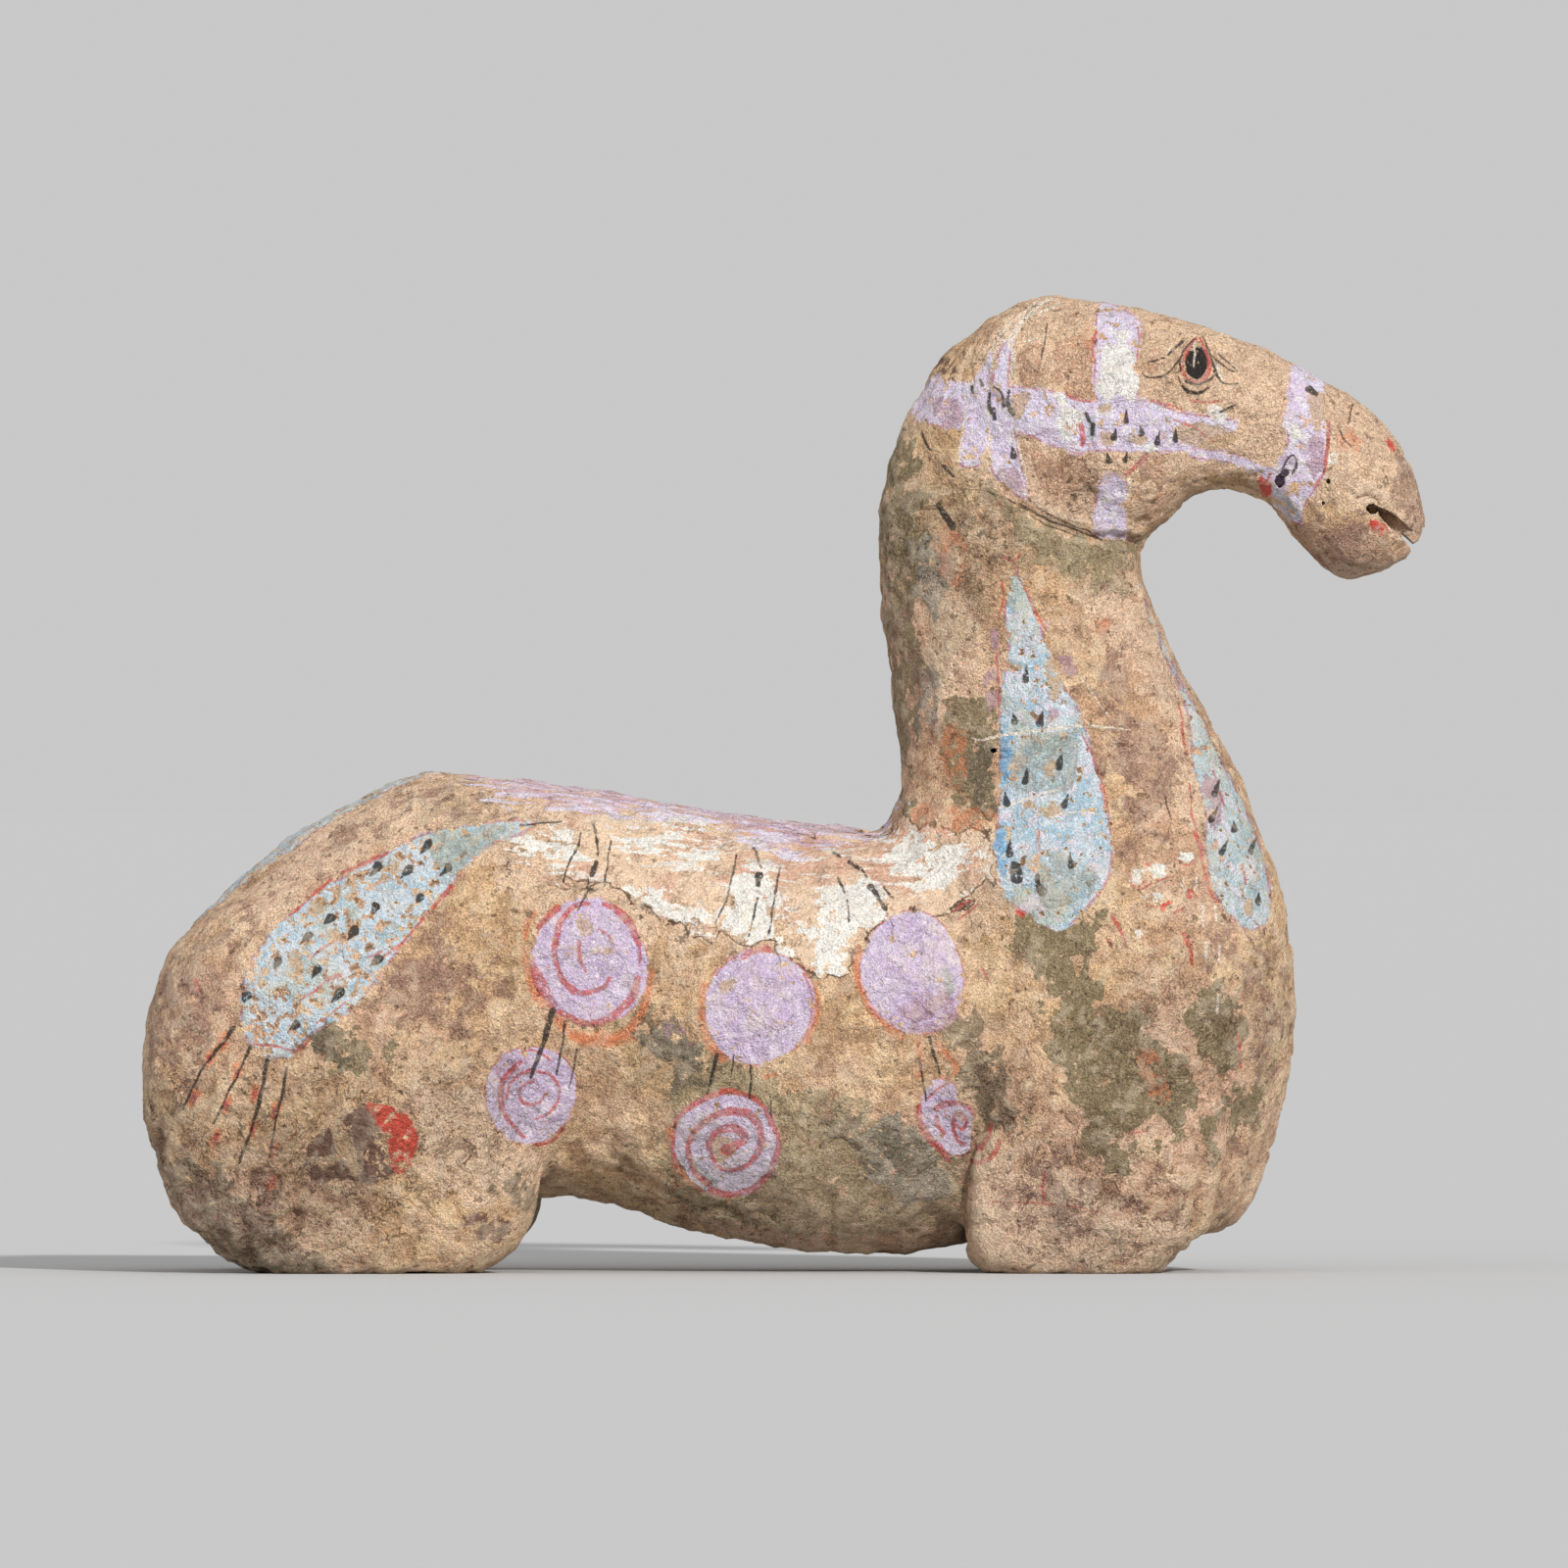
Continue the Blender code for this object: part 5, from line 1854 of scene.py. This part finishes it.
for name, stain, much, spots, least in STAINS:
    depth = plus(stored(name), centred(plates, STAIN_SWING))
    depth = plus(depth, centred(ragged, STAIN_SWING / 4))
    kept = paint.rise(spots, least, least + SPOT_FADE)
    colour = mixed(times(above(depth, 0, STAIN_BLUR), kept, much), colour, stain)
wash = plus(patches, times(plus(stored("mottle"), WASH_REACH), WASH_GAIN))
wash = above(wash, WASH_LEVEL, CRISP)
colour = mixed(times(wash, above(grain, 0.41, SOFT), 0.6), colour, PURPLE_BROWN)
print("nodes with the stains:", len(paint.tree.nodes))

# %% [markdown]
# Fine cracks and edges
#
# The film's edge gets a dark line of dirt and painted shadow, and just inside it a pale line, a
# painted highlight. Cracks are level lines of two noises: long ones round the plates and short ones
# round the crumbs. Each line only shows where a broader noise lets it, so it starts and stops. They
# are kept in one share, which darkens the finished colour with dirt and painted shade, and sinks
# into the surface later. Rough clay shows all of them.

# %% Cracks
EDGE_LINE = 0.004
LIT_EDGE = FLAKE_LEVEL + 0.012
PLATE_CRACKS = {0.56: 0.47, 0.44: 0.46, 0.50: 0.52}
CRUMB_CRACKS = {0.57: 0.51, 0.42: 0.52, 0.495: 0.55}
CRUSTY = (0.6, 1.3)
SMOOTH_SHARE = 0.35

# Dirt and painted shadow along the film's edge, and a painted highlight just inside it.
film_edge_dirt_and_shadow = times(band(flake, FLAKE_LEVEL, EDGE_LINE, 0.003), above(ragged, 0.44, SOFT))
colour = mixed(times(film_edge_dirt_and_shadow, 0.85), colour, EDGE_SHADOW_AND_DIRT)
film_painted_highlight = times(band(flake, LIT_EDGE, EDGE_LINE, 0.004), above(ragged, 0.505, 0.025))
colour = mixed(times(film_painted_highlight, 0.5), colour, PALE_SPECK_AND_HIGHLIGHT)
cracks = 0.0
for level, shown_from in PLATE_CRACKS.items():
    shown = paint.rise(drifts, shown_from, shown_from + 0.03)
    line = times(band(plates, level, 0.005, 0.004), shown, paint.rise(wear, 0.47, 0.50))
    cracks = paint.calc("MAXIMUM", cracks, line)
for level, shown_from in CRUMB_CRACKS.items():
    shown = paint.rise(patches, shown_from, shown_from + 0.02)
    cracks = paint.calc("MAXIMUM", cracks, times(band(crumbs, level, 0.008, 0.007), shown))
crusty = paint.rise(stored("roughened"), *CRUSTY)
cracks = times(cracks, plus(SMOOTH_SHARE, times(crusty, 1 - SMOOTH_SHARE)))
print("nodes with the cracks:", len(paint.tree.nodes))

# %% [markdown]
# Laying a paint
#
# Every paint is laid by one function. Its edge follows the kept depth, made ragged by noise. Wear
# takes it away where the wear noise is low, more so near its edge, where paint lifts first. What
# has been painted is kept in mind, because paint hides specks and calms the surface.

# %% How a paint covers
RAGGED_EDGE = 6 * MILLIMETRE
EDGE_BLUR = 0.5 * MILLIMETRE
THIN_RIM = 2 * MILLIMETRE
RIM_WEAR = 0.04
painted = 0.0


def cover(depth, worn, ragged_by=RAGGED_EDGE, noise=wear):
    """Where a paint still covers the clay."""
    laid = above(plus(depth, centred(ragged, ragged_by)), 0, EDGE_BLUR)
    deep = paint.rise(depth, 0.0, THIN_RIM)
    limit = paint.calc("SUBTRACT", worn + RIM_WEAR, times(deep, RIM_WEAR))
    return times(laid, above(paint.calc("SUBTRACT", noise, limit), 0, SOFT))


def laid_on(colour, share, paint_colour, strength):
    """Lays a paint over the colour, and keeps in mind where any paint lies."""
    global painted
    painted = paint.calc("MAXIMUM", painted, times(share, strength))
    return mixed(times(share, strength), colour, paint_colour)


def column_rise(first_column, full_column):
    """Nought at the first column of the picture and one at the other."""
    first, full = [on_side(column, FEET_ROW)[0] for column in (first_column, full_column)]
    return paint.rise(map_x, first, full)


def row_rise(first_row, full_row):
    """Nought at the first row of the picture and one at the other, which lies higher."""
    first, full = [on_side(0, row)[1] for row in (first_row, full_row)]
    return paint.rise(map_z, first, full)


map_place = stored(MAP, "Vector")
split_place = paint.add("ShaderNodeSeparateXYZ")
paint.put(split_place.inputs[0], map_place)
map_x, map_z = split_place.outputs[:2]

# %% [markdown]
# The ground on the back
#
# The back has a ground of peach slip with cream over it. The slip broke off along the flank, and
# its torn edge stands up, so it gets a little height and a dark line just outside it, a painted
# shadow. High up the cream is thin and shows the strokes of a broad brush. Lower down it stays in
# whole patches.

# %% Slip and cream
SLIP_COLUMNS = (500, 620)
SLIP_SWING = 30 * MILLIMETRE
SLIP_SHADOW_BAND = (-0.9 * MILLIMETRE, 0.6 * MILLIMETRE, 0.4 * MILLIMETRE)
BRUSHED_ROWS = (915, 880)
CREAM_SWING = 40 * MILLIMETRE
SLIP_WEAR = 0.40
CREAM_WEAR = 0.40

slip_depth = plus(stored("slip"), centred(plates, SLIP_SWING))
slip_colour = mixed(paint.rise(drifts, 0.44, 0.54), YELLOW_SLIP, PEACH_SLIP)
on_back = column_rise(*SLIP_COLUMNS)
slip = times(cover(slip_depth, SLIP_WEAR, noise=patches), on_back)
# Painted shadow: a dark line just outside the slip's torn edge.
slip_edge_shadow = times(band(slip_depth, *SLIP_SHADOW_BAND), on_back, paint.rise(wear, 0.42, 0.45))
colour = mixed(times(slip_edge_shadow, 0.85), colour, EDGE_SHADOW_AND_DIRT)
colour = laid_on(colour, slip, slip_colour, 0.85)
slip_chalk = times(slip, paint.rise(streaks, 0.53, 0.58), paint.rise(drifts, 0.42, 0.52))
colour = mixed(times(slip_chalk, 0.75), colour, CREAM_PAINT)
brushed = times(centred(streaks, CREAM_SWING), row_rise(*BRUSHED_ROWS))
brushed = plus(brushed, centred(patches, CREAM_SWING))
cream = cover(plus(stored("cream"), brushed), CREAM_WEAR)
on_slip = above(slip_depth, 0, EDGE_BLUR)
colour = laid_on(colour, times(cream, on_slip), CREAM_PAINT, 1.0)
print("nodes with the ground:", len(paint.tree.nodes))

# %% Saddle cloth and bridle
CLOTH_WEAR = 0.40
BRIDLE_WEAR = 0.42
BRIDLE_LINE = (0.6 * MILLIMETRE, 0.3 * MILLIMETRE, 0.5 * MILLIMETRE)
DABS = (
    ("orange", 0.47, ORANGE_PAINT, 0.45),
    ("maroon", 0.44, MAROON_PAINT, 0.85),
    ("red", 0.42, BRIGHT_RED, 0.9),
)


def dabbed(colour, dabs):
    for name, worn, paint_colour, strength in dabs:
        colour = laid_on(colour, cover(stored(name), worn), paint_colour, strength)
    return colour


colour = dabbed(colour, DABS)
soot = cover(stored("soot"), 0.40, ragged_by=RAGGED_EDGE / 3)
colour = laid_on(colour, soot, LAMPBLACK, 1.0)
cloth_colour = mixed(paint.rise(streaks, 0.46, 0.54), CLOTH_PINK, CLOTH_LILAC)
cloth_colour = mixed(times(paint.rise(streaks, 0.56, 0.59), 0.8), cloth_colour, CHALK_LILAC)
cloth_depth = plus(stored("saddle_cloth"), centred(streaks, CREAM_SWING))
colour = laid_on(colour, cover(cloth_depth, CLOTH_WEAR, noise=streaks), cloth_colour, 0.88)
bridle_depth = stored("bridle")
bridle_colour = mixed(paint.rise(patches, 0.44, 0.56), DISC_LILAC, BRIDLE_LILAC)
bridle_colour = mixed(times(paint.rise(wear, 0.54, 0.60), 0.6), bridle_colour, CREAM_PAINT)
colour = laid_on(colour, cover(bridle_depth, BRIDLE_WEAR), bridle_colour, 0.92)
bridle_line = times(band(bridle_depth, *BRIDLE_LINE), above(drifts, 0.50, 0.04), above(wear, 0.49, 0.05))
colour = mixed(times(bridle_line, 0.8), colour, OLD_ROSE)
print("nodes with the bridle:", len(paint.tree.nodes))

# %% [markdown]
# Discs and pendants
#
# The discs are lilac, chalkier where the paint is worn, and paler low on the belly, as painted light
# where the belly faces down. The pendants are pale blue. On the rump they are chalky and full of
# small holes, on the neck they have a lilac bloom, and the one on the chest turns green. A thin red
# line runs inside each pendant's edge and round each disc. Small dabs of other colours, and spots
# where the clay is bare, come last.

# %% Discs
BELLY_LIGHT_ROWS = (1220, 1100)
DISC_WEAR = 0.385
DISC_RIM = (-0.4 * MILLIMETRE, 0.2 * MILLIMETRE, 0.5 * MILLIMETRE)

disc_depth = stored("disc")
disc_colour = mixed(paint.rise(patches, 0.44, 0.56), DEEP_LILAC, DISC_LILAC)
disc_colour = mixed(times(paint.rise(wear, 0.50, 0.60), 0.8), disc_colour, CHALK_LILAC)
# Painted light: the discs turn paler towards the belly, which faces down.
disc_colour = mixed(times(less(row_rise(*BELLY_LIGHT_ROWS)), 0.8), disc_colour, CHALK_LILAC)
colour = laid_on(colour, cover(disc_depth, DISC_WEAR), disc_colour, 0.9)
disc_rim = times(band(disc_depth, *DISC_RIM), above(wear, 0.50, 0.04))
colour = mixed(times(disc_rim, 0.7), colour, OLD_ROSE)

# %% Pendants
GREEN_COLUMNS = (1150, 1200)
CHALKY_COLUMNS = (560, 620)
PENDANT_WEAR = 0.41
PENDANT_LINE = (0.2 * MILLIMETRE, 0.4 * MILLIMETRE, 0.6 * MILLIMETRE)
HOLE_LEVEL = 0.38
MORE_HOLES = 0.07

on_front = column_rise(*GREEN_COLUMNS)
on_rump = less(column_rise(*CHALKY_COLUMNS))
pendant_depth = stored("pendant")
blue_colour = mixed(paint.rise(patches, 0.46, 0.56), PALE_BLUE, CHALK_BLUE)
greenness = paint.calc("MAXIMUM", times(on_front, 0.3), times(paint.rise(drifts, 0.54, 0.60), 0.6))
blue_colour = mixed(greenness, blue_colour, PALE_GREEN)
blue_colour = mixed(times(on_rump, paint.rise(wear, 0.44, 0.50), 0.45), blue_colour, CHALK_BLUE)
lilac_bloom = times(less(on_rump), above(wear, 0.55, SHARP), 0.7)
blue_colour = mixed(lilac_bloom, blue_colour, CHALK_LILAC)
holes = above(paint.calc("SUBTRACT", ragged, times(on_rump, MORE_HOLES)), HOLE_LEVEL, SHARP)
pendant = times(cover(pendant_depth, PENDANT_WEAR, noise=patches), holes)
colour = laid_on(colour, pendant, blue_colour, 0.92)
pendant_line = times(band(pendant_depth, *PENDANT_LINE), paint.rise(wear, 0.46, 0.53))
pendant_red = mixed(paint.rise(clouds, 0.42, 0.58), OLD_ROSE, PURPLE_RED)
colour = mixed(times(pendant_line, 0.65), colour, pendant_red)
LAST_DABS = (
    ("smoke", 0.44, GREY_BLUE, 0.7),
    ("azure", 0.45, STRONG_BLUE, 0.8),
    ("mauve", 0.46, MAUVE_PAINT, 0.75),
    ("bare", 0.42, BARE_CLAY, 0.8),
    ("chalk", 0.43, CHALK_WHITE, 0.92),
)
colour = dabbed(colour, LAST_DABS)
print("nodes with the pendants:", len(paint.tree.nodes))

# %% [markdown]
# Laying the strokes
#
# The exact distance to a stroke needs only vector arithmetic. A group of nodes does it for one
# straight piece: it finds the nearest spot on the piece, the half width there, and how deep the
# place lies inside the stroke. The places are shifted by a little noise first, so that the lines
# tremble as if drawn by hand, and the brush runs dry where the grain is low.

# %% The stroke group


def stroke_group():
    """A node group that gives the depth of a place inside one straight piece of a stroke."""
    tree = bpy.data.node_groups.new("brush_stroke", "ShaderNodeTree")
    for name in ("Place", "Start", "End"):
        tree.interface.new_socket(name, in_out="INPUT", socket_type="NodeSocketVector")
    tree.interface.new_socket("Depth", in_out="OUTPUT", socket_type="NodeSocketFloat")
    group = Wiring(tree)
    given = group.add("NodeGroupInput").outputs
    flat = (1, 1, 0)
    run = group.arrow("SUBTRACT", given["End"], given["Start"])
    flat_run = group.arrow("MULTIPLY", run, flat)
    out = group.arrow("SUBTRACT", given["Place"], given["Start"])
    ahead = group.arrow("DOT_PRODUCT", out, flat_run)
    length_squared = group.arrow("DOT_PRODUCT", flat_run, flat_run)
    share = group.calc("DIVIDE", ahead, length_squared, limited=True)
    nearest_spot = group.arrow("ADD", given["Start"], group.arrow("SCALE", run, share))
    away = group.arrow("SUBTRACT", given["Place"], nearest_spot)
    distance = group.arrow("LENGTH", group.arrow("MULTIPLY", away, flat))
    split = group.add("ShaderNodeSeparateXYZ")
    group.put(split.inputs[0], nearest_spot)
    depth = group.calc("SUBTRACT", split.outputs["Z"], distance)
    group.put(group.add("NodeGroupOutput").inputs[0], depth)
    return tree


brush_stroke = stroke_group()
print("nodes for one piece of a stroke:", len(brush_stroke.nodes))

# %% Lay the strokes
TREMBLE_SIZE = 9 * MILLIMETRE
TREMBLE = 2.2 * MILLIMETRE
UNEVEN_WIDTH = 1.6 * MILLIMETRE
STROKE_BLUR = 0.35 * MILLIMETRE
HALO_BLUR = 1.0 * MILLIMETRE
DRY_FADE = 0.03

tremble = paint.add("ShaderNodeTexNoise")
paint.put(tremble.inputs["Vector"], here)
paint.put(tremble.inputs["Scale"], 1 / TREMBLE_SIZE)
shake = paint.arrow("SUBTRACT", tremble.outputs["Color"], (0.5, 0.5, 0.5))
shake = paint.arrow("MULTIPLY", shake, (TREMBLE, TREMBLE, 0))
trembling_place = paint.arrow("ADD", map_place, shake)


def stroke_cover(name, dry, blur=STROKE_BLUR):
    """Where the strokes of one paint lie. A higher dry value breaks them up more."""
    depth = None
    for rank in range(STROKES[name][1]):
        node = paint.add("ShaderNodeGroup")
        node.node_tree = brush_stroke
        paint.put(node.inputs["Place"], trembling_place)
        paint.put(node.inputs["Start"], stored(f"{name}_start_{rank}", "Vector"))
        paint.put(node.inputs["End"], stored(f"{name}_end_{rank}", "Vector"))
        found = node.outputs["Depth"]
        depth = found if depth is None else paint.calc("MAXIMUM", depth, found)
    uneven = plus(depth, centred(wear, UNEVEN_WIDTH))
    return times(above(uneven, 0, blur), above(grain, dry, DRY_FADE))


halo = stroke_cover("orange_line", 0.40, HALO_BLUR)
colour = mixed(times(halo, 0.7), colour, ORANGE_PAINT)
line_red = mixed(paint.rise(patches, 0.44, 0.56), VERMILION, OLD_ROSE)
colour = mixed(times(stroke_cover("red_line", 0.41), 0.82), colour, line_red)
colour = mixed(times(stroke_cover("white_line", 0.42), 0.9), colour, CREAM_LINE)
colour = mixed(times(stroke_cover("ink", 0.40), 0.92), colour, LAMPBLACK)
print("nodes with the strokes:", len(paint.tree.nodes))

# %% [markdown]
# Specks, dirt and painted shade
#
# Sand specks, dirt and cracks come over clay and paint alike, though paint hides most of them.
# The finest noise makes each grain of sand a little lighter or darker. Hollows, cracks and pits
# are darkened, as dirt and as painted shade. Ridges are lightened, as rubbed clay and as a painted
# highlight, but not the black of the eye. The underside is painted a shade darker: painted shade.

# %% Specks, dirt and painted shade
PAINT_HIDES = 0.7
PAINT_CALMS = 0.45
SAND_RANGE = 0.5
SAND_BLUR = 0.09
CRACK_ON_PAINT = 0.3
PIT_LEVEL = 0.345
PIT_BLUR = 0.015

unpainted = less(times(painted, PAINT_HIDES))
colour = mixed(times(below(grain, 0.385, 0.015), unpainted, 0.32), colour, DARK_SPECK)
colour = mixed(times(above(grain, 0.615, 0.015), unpainted, 0.3), colour, PALE_SPECK_AND_HIGHLIGHT)
sand = paint.calc("SUBTRACT", above(fine, 0.5, SAND_BLUR), 0.5)
sand_light = plus(1.0, times(sand, less(times(painted, PAINT_CALMS)), SAND_RANGE))
colour = paint.arrow("SCALE", colour, sand_light)
hollow = stored("hollow")
# Hollows and cracks darken the colour: dirt, and painted shade.
colour = mixed(times(above(hollow, 0.6, 0.3), unpainted, 0.3), colour, SHADE_AND_DIRT)
colour = mixed(times(cracks, plus(CRACK_ON_PAINT, times(unpainted, 0.45))), colour, EDGE_SHADOW_AND_DIRT)
# Ridges are lightened: rubbed clay, and a painted highlight.
rubbed_and_highlit_ridges = times(below(hollow, -0.5, 0.3), less(soot), 0.25)
colour = mixed(rubbed_and_highlit_ridges, colour, PALE_SPECK_AND_HIGHLIGHT)
# Pits are darkened: dirt, and painted shade in them.
pits = below(ragged, PIT_LEVEL, PIT_BLUR)
colour = mixed(times(pits, unpainted, 0.6), colour, DARK_SPECK)
# Painted shade: the colour darkens where the skin faces down.
facing = paint.add("ShaderNodeSeparateXYZ")
paint.put(facing.inputs[0], paint.add("ShaderNodeNewGeometry").outputs["Normal"])
painted_underside_shade = less(paint.rise(facing.outputs["Z"], -1.0, -0.35))
colour = mixed(times(painted_underside_shade, unpainted, 0.1), colour, SHADE_AND_DIRT)
print("nodes with the dirt:", len(paint.tree.nodes))

# %% [markdown]
# The feel of the surface
#
# The surface is dry and dull all over. The bump holds only what is too fine for the mesh, in true
# millimetres: grain, crumbs, the edges of flakes and terraces, pits, cracks and the thickness of
# the slip. Rough clay gets more of everything but the finest sand.

# %% Finish the material
GRAIN_HEIGHT = 2.6 * MILLIMETRE
FINE_HEIGHT = 1.5 * MILLIMETRE
CRUST_HEIGHT = 4.5 * MILLIMETRE
FLAKE_HEIGHT = 0.8 * MILLIMETRE
TERRACE_HEIGHT = 0.6 * MILLIMETRE
SLIP_HEIGHT = 0.9 * MILLIMETRE
PIT_DEPTH = 0.7 * MILLIMETRE
CRACK_DEPTH = 0.5 * MILLIMETRE
ROUGHNESS = 0.86
ROUGHNESS_SWING = 0.2
SHINE = 0.22

height = plus(centred(grain, GRAIN_HEIGHT), centred(ragged, CRUST_HEIGHT))
height = plus(height, times(film, FLAKE_HEIGHT))
height = plus(height, times(terraces, TERRACE_HEIGHT))
height = paint.calc("SUBTRACT", height, times(pits, PIT_DEPTH))
height = paint.calc("SUBTRACT", height, times(cracks, CRACK_DEPTH))
height = times(height, stored("roughened"))
height = plus(height, centred(fine, FINE_HEIGHT))
height = plus(height, times(slip, SLIP_HEIGHT))
bump = paint.add("ShaderNodeBump")
bump.inputs["Strength"].default_value = 1.0
bump.inputs["Distance"].default_value = 1.0
paint.put(bump.inputs["Height"], height)
paint.put(surface.inputs["Base Color"], colour)
paint.put(surface.inputs["Roughness"], plus(ROUGHNESS, centred(patches, ROUGHNESS_SWING)))
paint.put(surface.inputs["Normal"], bump.outputs["Normal"])
surface.inputs["Specular IOR Level"].default_value = SHINE
print("paint nodes:", len(paint.tree.nodes))

# %% [markdown]
# Floor, light and camera
#
# The studio is plain: a pale floor, a clear key lamp high in front on the right, which models the
# form, a weak broad one on the left, and an even room. Both lamps are suns, which light the floor
# evenly to the horizon, and the floor's grey is chosen to meet the room's grey without a line.

# %% The piece's place in the frame
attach(horse, "root")
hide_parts("pottery_horse")

# %% Floor
FLOOR_HALF = 200.0
FLOOR_GREY = (0.542, 0.542, 0.542, 1)
FLOOR_ROUGHNESS = 0.95
FLOOR_SHINE = 0.1


def matte(name, grey):
    material = bpy.data.materials.new(name)
    material.use_nodes = True
    shader = material.node_tree.nodes["Principled BSDF"]
    shader.inputs["Base Color"].default_value = grey
    shader.inputs["Roughness"].default_value = FLOOR_ROUGHNESS
    shader.inputs["Specular IOR Level"].default_value = FLOOR_SHINE
    return material


floor_mesh = bpy.data.meshes.new("studio_floor")
corners = [(x * FLOOR_HALF, y * FLOOR_HALF, 0) for x, y in ((-1, -1), (1, -1), (1, 1), (-1, 1))]
floor_mesh.from_pydata(corners, [], [(0, 1, 2, 3)])
floor_mesh.materials.append(matte("studio_floor", FLOOR_GREY))
floor = bpy.data.objects.new("studio_floor", floor_mesh)
bpy.context.scene.collection.objects.link(floor)
print("floor, in metres across:", 2 * FLOOR_HALF)

# %% Lamps and room
ROOM_GREY = (0.58, 0.58, 0.58, 1)
LAMPS = {
    "key_lamp": ((-0.5, 1.0, -0.6), 4, 3.0),
    "fill_lamp": ((0.8, 0.75, -0.4), 60, 0.35),
}
for name, (towards, spread, strength) in LAMPS.items():
    light = bpy.data.lights.new(name, "SUN")
    light.angle = math.radians(spread)
    light.energy = strength
    lamp = bpy.data.objects.new(name, light)
    lamp.rotation_euler = Vector(towards).to_track_quat("-Z", "Y").to_euler()
    bpy.context.scene.collection.objects.link(lamp)
room = bpy.data.worlds.new("plain_room")
room.use_nodes = True
room.node_tree.nodes["Background"].inputs["Color"].default_value = ROOM_GREY
bpy.context.scene.world = room
bpy.context.scene.view_settings.view_transform = "Standard"
print("lamps:", list(LAMPS))

# %% [markdown]
# The camera
#
# The camera looks straight at the horse's right side from far off, as the picture was taken. Its
# lens follows from the picture's width, so each pixel of a full render lies where the picture's
# does.

# %% Camera
SENSOR_WIDTH = 36.0
CAMERA_DISTANCE = 12.0
FAR_CLIP = 1000
camera_data = bpy.data.cameras.new("camera")
camera_data.sensor_width = SENSOR_WIDTH
camera_data.lens = SENSOR_WIDTH * CAMERA_DISTANCE / (PICTURE_SIZE * metres_per_pixel)
camera_data.clip_end = FAR_CLIP
camera = bpy.data.objects.new("camera", camera_data)
middle_x, middle_z = on_side(PICTURE_SIZE / 2, PICTURE_SIZE / 2)
camera.location = (middle_x, -CAMERA_DISTANCE, middle_z)
camera.rotation_euler = (math.pi / 2, 0, 0)
bpy.context.scene.collection.objects.link(camera)
bpy.context.scene.camera = camera
print("lens, in mm:", round(camera_data.lens, 1))
